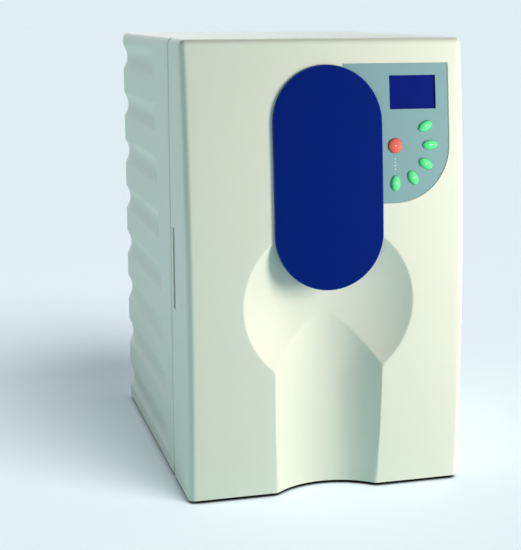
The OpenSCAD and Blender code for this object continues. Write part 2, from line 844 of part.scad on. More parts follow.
module keypad_panel()
    color(pale_teal) difference() {
        intersection() {
            along_y(seam_y, door_depth + 20) panel_outline(0);
            face_layer(panel_sunk, panel_floor);
        }
        at_keypad(key_x, red_z) cylinder(d = red_d + 2 * key_gap, h = 20, center = true);
        for (a = key_angles) at_green(a) linear_extrude(20, center = true)
            ellipse(green_l + 2 * key_gap, green_w + 2 * key_gap);
        at_face(display_x, base_z + display_z) linear_extrude(20, center = true)
            square([display_w, display_h], center = true);
        for (z = peg_zs) at_face(0, z) cylinder(d = peg_d + 2, h = 20, center = true);
    }

module display_lens()
    color(deep_blue) at_face(display_x, base_z + display_z) translate([0, 0, -panel_floor - slip - lens_t])
        linear_extrude(lens_t) square([display_w + 2 * lens_lip, display_h + 2 * lens_lip], center = true);

module display_module() {
    front = door_wall + bow_drop + slip;
    color(steel) at_board(display_x, base_z + display_z)
        linear_extrude(board_front - front) square([display_w + 2 * display_rim, display_h], center = true);
}

module keypad_board() {
    w = board_right - board_left;
    h = (board_high - board_low) / cos(face_tilt(red_z));
    color(circuit) {
        at_board(board_left, board_low) translate([0, 0, -board_t]) cube([w, h, board_t]);
        at_board(key_x, red_z) cylinder(r = plunger_r + 0.5, h = switch_t);
        for (a = key_angles)
            at_board(key_x + key_ring_r * cos(a), red_z + key_ring_r * sin(a)) cylinder(r = plunger_r + 0.5, h = switch_t);
        at_board(board_right - 16, ribbon_z) translate([0, 0, -board_t - 9]) linear_extrude(9)
            square([8, ribbon_w + 6], center = true);
    }
}

// Domed key cap with a retaining flange under the panel and a plunger behind it
module key(cap_l, cap_w) {
    dome_r = pow(cap_l, 2) / 16 + 1;
    rise = 2.6;
    intersection() {
        translate([0, 0, -panel_floor - slip]) linear_extrude(rise + panel_floor + slip) ellipse(cap_l, cap_w);
        translate([0, 0, rise - dome_r]) sphere(dome_r);
    }
    translate([0, 0, -panel_floor - slip - key_flange_t]) linear_extrude(key_flange_t)
        ellipse(cap_l + 2 * key_flange_lip, cap_w + 2 * key_flange_lip);
    translate([0, 0, -plunger_end]) cylinder(r = plunger_r, h = plunger_end - panel_floor - slip);
}

module red_key() color(key_red) at_keypad(key_x, red_z) key(red_d, red_d);

module green_key(i) color(key_green) at_green(key_angles[i - 1]) key(green_l, green_w);

// Membrane modules

// Upright sleeve with a front port, standing on z = 0 about the origin
module front_nipple(x, z, from) y_rod(x, port_y, z, port_r, from - port_y);

module membrane_housing(i) {
    x = module_xs[i - 1];
    color(white_plastic) difference() {
        union() {
            translate([x, row_y, module_low_z]) cylinder(r = module_r, h = module_l);
            translate([x, row_y, module_low_z]) cylinder(r = module_r + 1.5, h = 6);
            front_nipple(x, module_port_z, row_y - module_r + 3);
        }
        translate([x, row_y, module_low_z + module_wall]) cylinder(r = module_r - module_wall, h = module_l);
        y_rod(x, port_y - over, module_port_z, tube_r - 1.5, row_y - port_y);
    }
}

module membrane_cap(i) {
    x = module_xs[i - 1];
    ribs = 24;
    color(grey_plastic) {
        difference() {
            translate([x, row_y, module_top_z]) cylinder(r = cap_r, h = cap_h);
            for (k = [0:ribs - 1]) rotate_about(x, row_y, (k + 0.5) * 360 / ribs)
                translate([cap_r + 1.4, 0, module_top_z - over]) cylinder(r = 2.4, h = cap_h - 5);
        }
        translate([x, row_y, cap_z]) cylinder(r = port_r - 1, h = cap_nipple_h);
        front_nipple(x, row_z, row_y - cap_r + 4);
    }
}

module rotate_about(x, y, a) translate([x, y, 0]) rotate([0, 0, a]) children();

module membrane_elements()
    color(tube_white) for (x = module_xs)
        translate([x, row_y, module_low_z + module_wall])
            cylinder(r = module_r - module_wall - slip, h = module_l - module_wall);

module module_clips()
    color(grey_plastic) for (x = module_xs, z = clip_zs) difference() {
        union() {
            translate([x, row_y, z - clip_h / 2]) cylinder(r = module_r + slip + clip_wall, h = clip_h);
            translate([x - clip_foot_w / 2, row_y, z - clip_h / 2]) cube([clip_foot_w, chassis_y - row_y, clip_h]);
        }
        translate([x, row_y, z - clip_h]) cylinder(r = module_r + slip / 2, h = 2 * clip_h);
        translate([x - 2 * module_r, row_y - 2 * module_r - clip_mouth, z - clip_h])
            cube([4 * module_r, 2 * module_r, 2 * clip_h]);
    }

// Filters

module filter_head(x, port_xs, stub)
    color(grey_plastic) {
        translate([x, row_y, bowl_top_z]) cylinder(r = filter_r, h = head_h - 6);
        translate([x, row_y, bowl_top_z + head_h - 6]) cylinder(r1 = filter_r, r2 = filter_r - 6, h = 6);
        translate([x - 22, row_y, bowl_top_z + 2]) cube([44, chassis_y - row_y, head_h - 10]);
        for (p = port_xs) front_nipple(p, row_z, row_y);
        y_rod(stub, chassis_y - over, row_z, stub_r, stub_l + over);
    }

module carbon_head() filter_head(filter_xs[0], [filter_xs[0]], inlet_x);
module polish_head()
    filter_head(filter_xs[1], [filter_xs[1] - polish_port_dx, filter_xs[1] + polish_port_dx], product_x);

module filter_bowl(x, tint) {
    ribs = 20;
    color(tint) translate([x, row_y, 0]) difference() {
        union() {
            translate([0, 0, bowl_low_z + 8]) cylinder(r1 = bowl_r - 3, r2 = bowl_r, h = bowl_l - 8);
            translate([0, 0, bowl_low_z]) cylinder(r1 = bowl_r - 9, r2 = bowl_r - 3, h = 8);
            difference() {
                translate([0, 0, bowl_top_z - collar_h]) cylinder(r = filter_r, h = collar_h);
                for (k = [0:ribs - 1]) rotate([0, 0, k * 360 / ribs])
                    translate([filter_r + 1.4, 0, bowl_top_z - collar_h - over]) cylinder(r = 2.4, h = collar_h - 3);
            }
        }
        translate([0, 0, bowl_low_z + 8]) cylinder(r1 = bowl_r - 3 - bowl_wall, r2 = bowl_r - bowl_wall, h = bowl_l - 8 + over);
    }
}

module carbon_bowl() filter_bowl(filter_xs[0], [0.75, 0.85, 0.95, 0.6]);
module polish_bowl() filter_bowl(filter_xs[1], [0.9, 0.92, 0.95, 0.7]);

module filter_cartridges()
    color(tube_white) for (x = filter_xs) translate([x, row_y, bowl_low_z + 8]) {
        cylinder(r = bowl_r - bowl_wall - 5, h = bowl_l - 8);
        cylinder(r = bowl_r - bowl_wall - 3.6, h = 6);
        translate([0, 0, bowl_l - 16]) cylinder(r = bowl_r - bowl_wall - 2, h = 8);
    }

// Pump and valves

module pump_motor()
    color(rubber) {
        translate([pump_head_x, pump_y, line_z]) rotate([0, 90, 0]) cylinder(r = motor_r, h = motor_l - 8);
        translate([pump_head_x + motor_l - 8, pump_y, line_z]) rotate([0, 90, 0]) cylinder(r1 = motor_r, r2 = motor_r - 6, h = 8);
    }

module pump_head() {
    x = pump_head_x - pump_head_w;
    color(grey_plastic) {
        translate([x + 12, pump_y - pump_head_h / 2, line_z - pump_head_h / 2])
            cube([pump_head_w - 12, pump_head_h, pump_head_h]);
        translate([x, pump_y, line_z]) rotate([0, 90, 0]) cylinder(r = pump_head_h / 2 - 4, h = 12);
        for (px = [pump_in_x, pump_out_x]) front_nipple(px, line_z, pump_y - pump_head_h / 2 + 3);
    }
}

module pump_foot() {
    x = pump_head_x + 14;
    l = motor_l - 34;
    color(steel) difference() {
        union() {
            translate([x, pump_y - 30, tray_z]) cube([l, 60, 3]);
            for (dx = [0, l - 12]) translate([x + dx, pump_y - 24, tray_z]) cube([12, 48, line_z - tray_z - 10]);
        }
        translate([x - over, pump_y, line_z]) rotate([0, 90, 0]) cylinder(r = motor_r, h = l + 2 * over);
    }
}

// In-line solenoid valve along Y between two port faces, standing on the tray
module line_valve(x, from_y, to_y) {
    mid = (from_y + to_y) / 2;
    color(grey_plastic) {
        y_rod(x, from_y, line_z, port_r, to_y - from_y);
        y_rod(x, from_y + nipple_l, line_z, valve_r, to_y - from_y - 2 * nipple_l);
        translate([x - 9, mid - 14, tray_z]) cube([18, 28, line_z - tray_z]);
        translate([x, mid, line_z]) cylinder(r = 8, h = valve_r + coil_h + 3);
        translate([x - coil_w / 2, mid - coil_l / 2, line_z + valve_r + 1]) cube([coil_w, coil_l, coil_h]);
    }
}

module flush_valve() line_valve(valve_x, port_y, flush_rear_y);
module inlet_valve() line_valve(inlet_x, inlet_front_y, inlet_rear_y);

module conductivity_cell()
    color(rubber) {
        translate([-cell_hl, row_y, cell_z]) rotate([0, 90, 0]) cylinder(r = cell_r, h = 2 * cell_hl);
        y_rod(0, row_y - cell_r - 8, cell_z, port_r - 1, cell_r + 8);
        translate([0, row_y, cell_z]) cylinder(r = 6, h = cell_r + 5);
    }

// Electronics behind the chassis plate

module power_supply()
    color(steel) difference() {
        translate([supply_x - supply_w / 2, chassis_rear_y, supply_z - supply_h / 2]) cube([supply_w, supply_d, supply_h]);
        for (i = [-supply_vent_rows:supply_vent_rows], k = [-1, 1])
            translate([supply_x + k * supply_w / 4, 0, supply_z + i * supply_vent_pitch])
                along_y(chassis_rear_y + supply_d + over, supply_vent_deep + over)
                    round_rect(supply_vent_w, supply_vent_h, 0.48 * supply_vent_h);
    }

module standoff_spots()
    for (sx = [-1, 1], sz = [-1, 1])
        translate([main_board_x + sx * (main_board_w / 2 - standoff_inset), chassis_rear_y,
            main_board_z + sz * (main_board_h / 2 - standoff_inset)])
            rotate([-90, 0, 0]) children();

module board_standoffs() color(steel) standoff_spots() cylinder(r = standoff_r, h = main_board_gap, $fn = 6);

module control_board() {
    y = chassis_rear_y + main_board_gap;
    low = main_board_z - main_board_h / 2;
    high = main_board_z + main_board_h / 2;
    right = main_board_x + main_board_w / 2;
    color(circuit) {
        translate([main_board_x - main_board_w / 2, y, low]) cube([main_board_w, board_t, main_board_h]);
        for (i = [-1.5:1.5]) translate([main_board_x + i * relay_pitch - relay.x / 2, y, low + relay_lift]) cube(relay);
        for (i = [-1:1]) y_rod(main_board_x + i * can_pitch, y, high - can_drop, can_r, can_l);
        translate([main_board_x - chip_w / 2, y, main_board_z - chip_w / 2]) cube([chip_w, chip_t, chip_w]);
        translate([right - header.x - header_inset, y, main_board_z + header_lift]) cube(header);
    }
}

// Flat ribbon from the keypad board, past the hinge side, to the chassis plate
module control_ribbon() {
    board_y = at_ribbon_y();
    x0 = board_right - 12;
    color(grey_plastic) translate([0, 0, ribbon_z - ribbon_w / 2]) linear_extrude(ribbon_w) {
        translate([x0, board_y]) square([ribbon_x - x0, ribbon_t]);
        translate([ribbon_x - ribbon_t, board_y]) square([ribbon_t, chassis_y - board_y]);
        translate([chassis_hw - 20, chassis_y - ribbon_t]) square([ribbon_x - chassis_hw + 20, ribbon_t]);
    }
}
function at_ribbon_y() = face_y(red_z) + (board_front + board_t) + 6 + (red_z - ribbon_z) * -sin(face_tilt(red_z));

// Tubes

module tube(pts) color(tube_white) pipe(pts, tube_r, tube_bend);

module feed_tubes() {
    tube([[inlet_x, rear_sheet_y - fitting_in_l, line_z], [inlet_x, inlet_rear_y, line_z]]);
    tube([[inlet_x, inlet_front_y, line_z], [inlet_x, chassis_rear_y + 46, line_z],
        [inlet_x, chassis_rear_y + 46, row_z], [inlet_x, chassis_y + stub_l, row_z]]);
}

module pump_in_tube()
    tube([[filter_xs[0], port_y, row_z], [filter_xs[0], tube_y, row_z], [filter_xs[0], tube_y, line_z],
        [pump_in_x, tube_y, line_z], [pump_in_x, port_y, line_z]]);

module pump_out_tube()
    tube([[pump_out_x, port_y, line_z], [pump_out_x, tube_y, line_z],
        [pump_out_x, tube_y, module_port_z], [pump_out_x, port_y, module_port_z]]);

module crossover_tube()
    tube([[module_xs[0], port_y, row_z], [module_xs[0], tube_y, row_z],
        [module_xs[1], tube_y, row_z], [module_xs[1], port_y, row_z]]);

module reject_tube()
    tube([[module_xs[1], port_y, module_port_z], [module_xs[1], tube_y, module_port_z],
        [valve_x, tube_y, module_port_z], [valve_x, tube_y, line_z], [valve_x, port_y, line_z]]);

module permeate_tubes()
    color(tube_white) for (s = [-1, 1])
        pipe([[s * module_pitch / 2, row_y, cap_z + cap_nipple_h], [s * module_pitch / 2, row_y, cell_z],
            [s * cell_hl, row_y, cell_z]], tube_r, permeate_bend);

module polisher_tube() {
    x = filter_xs[1] - polish_port_dx;
    tube([[0, row_y - cell_r - 8, cell_z], [0, tube_y, cell_z], [x, tube_y, cell_z],
        [x, tube_y, row_z], [x, port_y, row_z]]);
}

module outlet_tubes() {
    fitting_y = rear_sheet_y - fitting_in_l;
    tube([[valve_x, flush_rear_y, line_z], [valve_x, fitting_y, line_z]]);
    tube([[product_x, chassis_y + stub_l, row_z], [product_x, chassis_rear_y + 60, row_z],
        [product_x, chassis_rear_y + 60, product_z], [product_x, fitting_y, product_z]]);
}

// Soft hose from the polishing filter, past the hinge side, to the valve behind the recess
hose_steps = 12;
hose_sides = 14;
function hose_pts() = let (x = filter_xs[1] + polish_port_dx, y = stub_end_y + dispense_l / 2)
    [[x, port_y + 16, row_z], [x, port_y - hose_gap, row_z], [x + 2, port_y - 16, row_z - 4],
        [inner_hw - 16, hood_front_y + 4, row_z - 34], [inner_hw - 15, door_rear_y - 22, row_z - 74],
        [inner_hw - 34, y - 4, valve_out_z + 36], [dispense_w / 2 + 46, y, valve_out_z + 2],
        [dispense_w / 2 + nipple_l + hose_gap, y, valve_out_z], [dispense_w / 2 - 30, y, valve_out_z]];
// Point of a smooth curve through p[i] and p[i + 1] at t
function curve_at(p, i, t) = 0.5 * (2 * p[i] + (p[i + 1] - p[i - 1]) * t
    + (2 * p[i - 1] - 5 * p[i] + 4 * p[i + 1] - p[i + 2]) * t * t
    + (3 * p[i] - p[i - 1] - 3 * p[i + 1] + p[i + 2]) * t * t * t);

module dispense_hose() {
    p = hose_pts();
    line = concat([for (i = [1:len(p) - 3], k = [0:hose_steps - 1]) curve_at(p, i, k / hose_steps)], [p[len(p) - 2]]);
    n = len(line);
    dirs = [for (i = [0:n - 1]) unit(line[min(i + 1, n - 1)] - line[max(i - 1, 0)])];
    ring = [for (i = [0:n - 1]) let (side = unit(cross(dirs[i], [0.25, 0.2, 1])), up = cross(side, dirs[i]))
        for (k = [0:hose_sides - 1]) let (a = k * 360 / hose_sides)
            line[i] + tube_r * (cos(a) * side + sin(a) * up)];
    walls = [for (i = [0:n - 2], k = [0:hose_sides - 1]) let (a = i * hose_sides, b = (k + 1) % hose_sides)
        [a + k, a + hose_sides + k, a + hose_sides + b, a + b]];
    ends = [[for (k = [0:hose_sides - 1]) k], [for (k = [hose_sides - 1:-1:0]) (n - 1) * hose_sides + k]];
    color(tube_white) polyhedron(ring, concat(walls, ends), 4);
}

// Rear connections

module rear_fittings()
    color(white_plastic) for (f = fittings) translate([f[0], 0, f[1]]) difference() {
        union() {
            y_rod(0, rear_sheet_y - fitting_in_l, 0, fitting_r, fitting_in_l + rear_sheet_t + fitting_out_l);
            translate([0, rear_face_y, 0]) rotate([-90, 0, 0]) cylinder(r = fitting_flange_r, h = fitting_flange_t, $fn = 6);
            translate([0, rear_sheet_y - fitting_flange_t, 0]) rotate([-90, 0, 0])
                cylinder(r = fitting_flange_r, h = fitting_flange_t, $fn = 6);
        }
        y_rod(0, rear_face_y + fitting_out_l - collet_l - over, 0, collet_r + run, collet_l + 2 * over);
        y_rod(0, rear_face_y + fitting_out_l - collet_l - socket_l, 0, fitting_bore_d / 2, socket_l);
        y_rod(0, rear_sheet_y - fitting_in_l - over, 0, tube_r - 1.5, fitting_in_l + rear_sheet_t + over);
    }

module collet(i)
    color(grey_plastic) translate([fittings[i][0], rear_face_y + fitting_out_l, fittings[i][1]]) difference() {
        union() {
            y_rod(0, collet_travel - collet_l + over, 0, collet_r, collet_l);
            y_rod(0, collet_travel + slip, 0, collet_lip_r, collet_lip_t);
        }
        y_rod(0, -collet_l - over, 0, fitting_bore_d / 2, 2 * collet_l + 4 * over);
    }

module feed_collet() collet(0);
module drain_collet() collet(1);
module product_collet() collet(2);

module power_inlet() {
    body_w = mains_w - 2 * mains_lip - 2 * slip;
    body_h = mains_h - 2 * mains_lip - 2 * slip;
    color(rubber) translate([mains_x, 0, mains_z]) difference() {
        union() {
            along_y(rear_face_y + mains_bezel_t, mains_bezel_t) round_rect(mains_w, mains_h, mains_corner_r);
            translate([-body_w / 2, rear_face_y - mains_depth, -body_h / 2]) cube([body_w, mains_depth, body_h]);
        }
        difference() {
            translate([0, 0, plug_dz]) along_y(rear_face_y + mains_bezel_t + over, plug_deep + over)
                round_rect(plug_w, plug_h, plug_corner_r);
            for (i = [-1:1])
                translate([i * pin_pitch - pin_w / 2, rear_face_y - plug_deep, plug_dz - pin_h / 2 + (i == 0 ? pin_step : 0)])
                    cube([pin_w, plug_deep - pin_short, pin_h]);
        }
        translate([-rocker_w / 2 - slip, rear_face_y - rocker_well, rocker_dz - rocker_h / 2 - slip])
            cube([rocker_w + 2 * slip, 2 * rocker_well, rocker_h + 2 * slip]);
        translate([0, rear_face_y - 1, rocker_dz]) rotate([0, 90, 0])
            cylinder(r = rocker_pin_r + run, h = rocker_w + 6, center = true);
    }
}

// Rocker of the mains switch: two flats about its pivot pin, tipped to one side at rest
module switch_rocker() {
    half = rocker_h / 2 - 0.9;
    color(key_red) translate([mains_x, rear_face_y - 1, mains_z + rocker_dz]) rotate([rocker_tilt, 0, 0]) {
        rotate([0, 90, 0]) cylinder(r = rocker_pin_r, h = rocker_w + 5, center = true);
        translate([-rocker_w / 2 + slip, 0, 0]) rotate([90, 0, 90]) linear_extrude(rocker_w - 2 * slip)
            polygon([[-2.6, -half + 1], [5.2, -half], [4, 0], [5.2, half], [-2.6, half - 1]]);
    }
}

cabinet_hood();
rear_panel();
panel_screws();
base_tray();
rubber_feet();
chassis_plate();
hinge_pins();
catch_magnet();
front_door();
catch_strike();
dispense_cover();
dispense_nozzle();
dispense_valve();
keypad_panel();
display_lens();
display_module();
keypad_board();
red_key();
for (i = [1:5]) green_key(i);
for (i = [1:2]) membrane_housing(i);
for (i = [1:2]) membrane_cap(i);
membrane_elements();
module_clips();
carbon_head();
carbon_bowl();
polish_head();
polish_bowl();
filter_cartridges();
pump_motor();
pump_head();
pump_foot();
inlet_valve();
flush_valve();
conductivity_cell();
power_supply();
control_board();
board_standoffs();
control_ribbon();
feed_tubes();
pump_in_tube();
pump_out_tube();
crossover_tube();
reject_tube();
permeate_tubes();
polisher_tube();
outlet_tubes();
dispense_hose();
power_inlet();
switch_rocker();
rear_fittings();
feed_collet();
drain_collet();
product_collet();
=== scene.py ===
import json
import math

import bmesh
import bpy
import numpy as np
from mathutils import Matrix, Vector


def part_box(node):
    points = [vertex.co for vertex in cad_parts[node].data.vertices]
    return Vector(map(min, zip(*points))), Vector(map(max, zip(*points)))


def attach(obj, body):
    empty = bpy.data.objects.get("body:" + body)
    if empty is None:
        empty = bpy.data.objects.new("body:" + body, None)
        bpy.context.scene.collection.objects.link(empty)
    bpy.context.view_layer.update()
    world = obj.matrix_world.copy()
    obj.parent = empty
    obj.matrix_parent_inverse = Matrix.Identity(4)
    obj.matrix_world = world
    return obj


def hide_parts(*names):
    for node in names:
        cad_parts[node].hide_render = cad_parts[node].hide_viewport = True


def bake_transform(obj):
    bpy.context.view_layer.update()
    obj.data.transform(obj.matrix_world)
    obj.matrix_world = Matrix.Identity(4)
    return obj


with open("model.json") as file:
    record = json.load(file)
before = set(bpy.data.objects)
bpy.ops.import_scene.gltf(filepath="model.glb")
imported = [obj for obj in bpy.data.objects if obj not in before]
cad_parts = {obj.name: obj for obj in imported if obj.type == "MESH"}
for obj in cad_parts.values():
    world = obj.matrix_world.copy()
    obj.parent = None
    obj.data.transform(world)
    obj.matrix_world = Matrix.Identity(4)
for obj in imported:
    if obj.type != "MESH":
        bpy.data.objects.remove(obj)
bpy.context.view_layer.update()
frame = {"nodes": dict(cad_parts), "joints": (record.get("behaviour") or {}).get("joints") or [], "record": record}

# Hood: the deep fluted cover of the cabinet, moulded in one piece from cream plastic and painted satin.
# Its sides carry eight flutes each, a shadow groove runs round its front, it has no floor and no back,
# and two pairs of hinge knuckles are moulded on its right front edge.
hood_low, hood_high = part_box("cabinet_hood")
half_w = -hood_low.x
base_z = hood_low.z
top_z = hood_high.z
rear_y = hood_high.y
hinge = next(j for j in frame["joints"] if j["name"] == "door_hinge")
hinge_x, seam_y = hinge["pos_m"][:2]
seam_gap = 0.0022
hood_front_y = seam_y + seam_gap / 2
side_wall = 0.010
top_wall = 0.008
edge_r = 0.008
inner_hw = half_w - side_wall
cream = (0.90, 0.90, 0.815, 1)


def plug(tree, node, inputs):
    """Each input of a node, given by name or place, is linked from a socket or set to a value."""
    for key, value in dict(inputs).items():
        if isinstance(value, bpy.types.NodeSocket):
            tree.links.new(value, node.inputs[key])
        else:
            node.inputs[key].default_value = value
    return node


def add_node(tree, kind, inputs=(), **settings):
    """A new shader node with its settings, such as its operation, and its inputs."""
    node = tree.nodes.new("ShaderNode" + kind)
    for name, value in settings.items():
        setattr(node, name, value)
    return plug(tree, node, inputs)


def calc(tree, operation, *inputs, kind="Math", **settings):
    """The result of a maths operation on sockets or values."""
    return add_node(tree, kind, enumerate(inputs), operation=operation, **settings).outputs[0]


def scaled(tree, colour, share):
    """A colour times a number."""
    return add_node(tree, "VectorMath", {0: colour, "Scale": share}, operation="SCALE").outputs[0]


def surface_grain_group():
    """Shader group: fine noise gives Height, slow noise drifts Colour and Roughness about their values."""
    group = bpy.data.node_groups.new("surface_grain", "ShaderNodeTree")
    for name, kind, value in (
        ("Colour", "NodeSocketColor", (0.8, 0.8, 0.8, 1)),
        ("Grain Scale", "NodeSocketFloat", 1500.0),
        ("Drift Scale", "NodeSocketFloat", 14.0),
        ("Drift", "NodeSocketFloat", 0.04),
        ("Roughness", "NodeSocketFloat", 0.5),
        ("Roughness Drift", "NodeSocketFloat", 0.1),
        ("Stretch", "NodeSocketVector", (1.0, 1.0, 1.0)),
    ):
        socket = group.interface.new_socket(name=name, in_out="INPUT", socket_type=kind)
        socket.default_value = value
    for name, kind in (("Colour", "Color"), ("Roughness", "Float"), ("Height", "Float")):
        group.interface.new_socket(name=name, in_out="OUTPUT", socket_type="NodeSocket" + kind)
    given = group.nodes.new("NodeGroupInput").outputs
    place = add_node(group, "TexCoord").outputs["Object"]
    drawn = calc(group, "MULTIPLY", place, given["Stretch"], kind="VectorMath")
    grain = add_node(group, "TexNoise", {"Vector": drawn, "Scale": given["Grain Scale"],
                                         "Detail": 2.0}).outputs["Fac"]
    drift = add_node(group, "TexNoise", {"Vector": place, "Scale": given["Drift Scale"],
                                         "Detail": 3.0}).outputs["Fac"]
    gain = calc(group, "MULTIPLY_ADD", calc(group, "SUBTRACT", drift, 0.5), given["Drift"], 1.0)
    centred = calc(group, "SUBTRACT", calc(group, "ADD", drift, grain), 1.0)
    rough = calc(group, "MULTIPLY_ADD", centred, given["Roughness Drift"], given["Roughness"],
                 use_clamp=True)
    plug(group, group.nodes.new("NodeGroupOutput"),
         {"Colour": scaled(group, given["Colour"], gain), "Roughness": rough, "Height": grain})
    return group


surface_grain = surface_grain_group()


def finish(name, colour, rough, grain=1500.0, bump=0.00004, drift=0.04, drift_scale=14.0, rough_drift=0.12,
           stretch=(1, 1, 1), **sockets):
    """A material: the grain group drives colour, roughness and bump, fixed values sit on the shader."""
    material = bpy.data.materials.new(name)
    material.use_nodes = True
    tree = material.node_tree
    texture = add_node(tree, "Group", {"Colour": colour, "Grain Scale": grain, "Drift Scale": drift_scale,
                                       "Drift": drift, "Roughness": rough, "Roughness Drift": rough_drift,
                                       "Stretch": stretch}, node_tree=surface_grain).outputs
    relief = add_node(tree, "Bump", {"Height": texture["Height"], "Distance": bump, "Strength": 1.0})
    plug(tree, tree.nodes["Principled BSDF"],
         {"Base Color": texture["Colour"], "Roughness": texture["Roughness"], "Normal": relief.outputs[0],
          **{socket.replace("_", " "): value for socket, value in sockets.items()}})
    return material


shell_paint = finish("shell_paint", cream, 0.46, grain=2600.0, bump=0.000012, drift=0.02)


def grid_faces(rows, cols, wrap=False, start=0):
    """Quads of a grid of points numbered row by row: each joins a point to its right, upper right and
    upper neighbours, and with wrap the last row joins the first."""
    last = rows if wrap else rows - 1
    a = np.arange(last)[:, None] * cols + np.arange(cols - 1)[None, :]
    b = (np.arange(last)[:, None] + 1) % rows * cols + np.arange(cols - 1)[None, :]
    return (np.stack([a, a + 1, b + 1, b], -1).reshape(-1, 4) + start).tolist()


def add_object(name, data):
    """A new object of a mesh, lamp or camera, linked to the scene."""
    made = bpy.data.objects.new(name, data)
    bpy.context.scene.collection.objects.link(made)
    return made


def make_mesh(name, points, faces, angle=35.0):
    """A mesh object of points and faces: doubles merged, normals outwards, smooth up to an edge angle."""
    mesh = bpy.data.meshes.new(name)
    mesh.from_pydata(np.asarray(points, float).reshape(-1, 3).tolist(), [], faces)
    work = bmesh.new()
    work.from_mesh(mesh)
    bmesh.ops.remove_doubles(work, verts=work.verts, dist=2e-6)
    bmesh.ops.dissolve_degenerate(work, edges=work.edges, dist=1e-7)
    bmesh.ops.recalc_face_normals(work, faces=work.faces)
    work.to_mesh(mesh)
    work.free()
    piece = add_object(name, mesh)
    smooth(piece, angle)
    return piece


def smooth(piece, angle=35.0):
    """Smooth shading that breaks at edges whose faces turn by more than the angle."""
    mesh = piece.data
    mesh.shade_smooth()
    mesh.set_sharp_from_angle(angle=math.radians(angle))


def fit(piece, material, body, *nodes, slot=None):
    """Gives a piece its finish and its body, and hides the nodes it stands for. The slot is not used."""
    piece.data.materials.clear()
    piece.data.materials.append(material)
    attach(piece, body)
    if nodes:
        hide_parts(*nodes)
    return piece


def apply_modifier(piece, modifier):
    """Makes a modifier's result the piece's own mesh."""
    bpy.context.view_layer.objects.active = piece
    with bpy.context.temp_override(object=piece, active_object=piece, selected_objects=[piece]):
        bpy.ops.object.modifier_apply(modifier=modifier.name)


def cut(piece, cutter, operation="DIFFERENCE"):
    """Cuts the cutter's volume from the piece, or adds it, and removes the cutter."""
    change = piece.modifiers.new("cut", "BOOLEAN")
    change.object = cutter
    change.operation = operation
    change.solver = "EXACT"
    apply_modifier(piece, change)
    bpy.data.objects.remove(cutter)
    smooth(piece)


def join(piece, *others):
    """Puts the meshes of the others into the piece's mesh."""
    work = bmesh.new()
    for one in (piece, *others):
        work.from_mesh(one.data)
    work.to_mesh(piece.data)
    work.free()
    for one in others:
        bpy.data.objects.remove(one)
    smooth(piece)
    return piece


def revolve(name, profile, origin, axis, sides=48, closed=True):
    """A profile of (radius, distance) pairs turned about an axis through origin.
    A closed profile makes a ring."""
    profile = np.asarray(profile, float)
    axis = np.asarray(axis, float)
    axis = axis / np.linalg.norm(axis)
    helper = np.array([0.0, 0.0, 1.0]) if abs(axis[2]) < 0.9 else np.array([1.0, 0.0, 0.0])
    u = np.cross(helper, axis)
    u = u / np.linalg.norm(u)
    v = np.cross(axis, u)
    angle = np.linspace(0, 2 * np.pi, sides, endpoint=False)
    ring = np.cos(angle)[:, None] * u + np.sin(angle)[:, None] * v
    if closed:
        profile = np.vstack([profile, profile[:1]])
    points = (np.asarray(origin, float) + ring[:, None, :] * profile[None, :, :1]
              + axis * profile[None, :, 1:])
    return make_mesh(name, points, grid_faces(sides, len(profile), wrap=True))


def capped_rings(name, rings, angle=35.0):
    """Rings of points, each closed on itself and joined to the next, with a face over both ends."""
    rows, cols = rings.shape[:2]
    first = np.arange(cols)
    caps = [first.tolist(), (first + (rows - 1) * (cols + 1)).tolist()]
    closed = np.concatenate([rings, rings[:, :1]], 1)
    return make_mesh(name, closed, grid_faces(rows, cols + 1) + caps, angle)


def prism(name, outline, low, high, place):
    """An outline of (a, b) pairs drawn out from low to high; place turns arrays a, b, c into points."""
    a, b = np.asarray(outline, float).T
    return capped_rings(name, np.stack([place(a, b, np.full(len(a), c)) for c in (low, high)]))


def upright(a, b, c):
    """Outline in plan, drawn out in height."""
    return np.stack([a, b, c], -1)


flute_count = 8
flute_pitch = (top_z - base_z) / flute_count
flute_half_h = 0.0165
flute_depth = 0.0055
flute_soft = 0.0005
flute_ramp = 0.005
flute_start = 0.135
flute_lean = 0.138
front_y = -0.220


def flute_depth_at(y, z):
    """Depth of the flutes: a parabola across each, floored softly at nothing, that ramps in along y."""
    rise = z - base_z
    middle = (np.floor(np.clip(rise / flute_pitch, 0, flute_count - 0.001)) + 0.5) * flute_pitch
    dip = flute_depth * (1 - ((rise - middle) / flute_half_h) ** 2)
    soft = 0.5 * (dip + np.sqrt(dip ** 2 + flute_soft ** 2))
    t = np.clip((y - (front_y + flute_start + flute_lean * middle)) / flute_ramp, 0, 1)
    return soft * t * t * (3 - 2 * t)


def arch_line(hw, top, r, side_count, top_count=31, arc_count=9):
    """An arch from lower left over the top to lower right, with its outward normals: two straight sides,
    two quarter rounds and a straight top."""
    side = np.linspace(base_z, top - r, side_count)
    arc = np.linspace(0, np.pi / 2, arc_count)[1:-1]
    flat = np.linspace(-hw + r, hw - r, top_count)
    one = np.ones_like
    x = np.concatenate([-hw * one(side), -hw + r - r * np.cos(arc), flat,
                        hw - r + r * np.sin(arc), hw * one(side)])
    z = np.concatenate([side, top - r + r * np.sin(arc), top * one(flat),
                        top - r + r * np.cos(arc), side[::-1]])
    nx = np.concatenate([-one(side), -np.cos(arc), 0 * flat, np.sin(arc), one(side)])
    nz = np.concatenate([0 * side, np.sin(arc), one(flat), np.cos(arc), 0 * side])
    return x, z, nx, nz


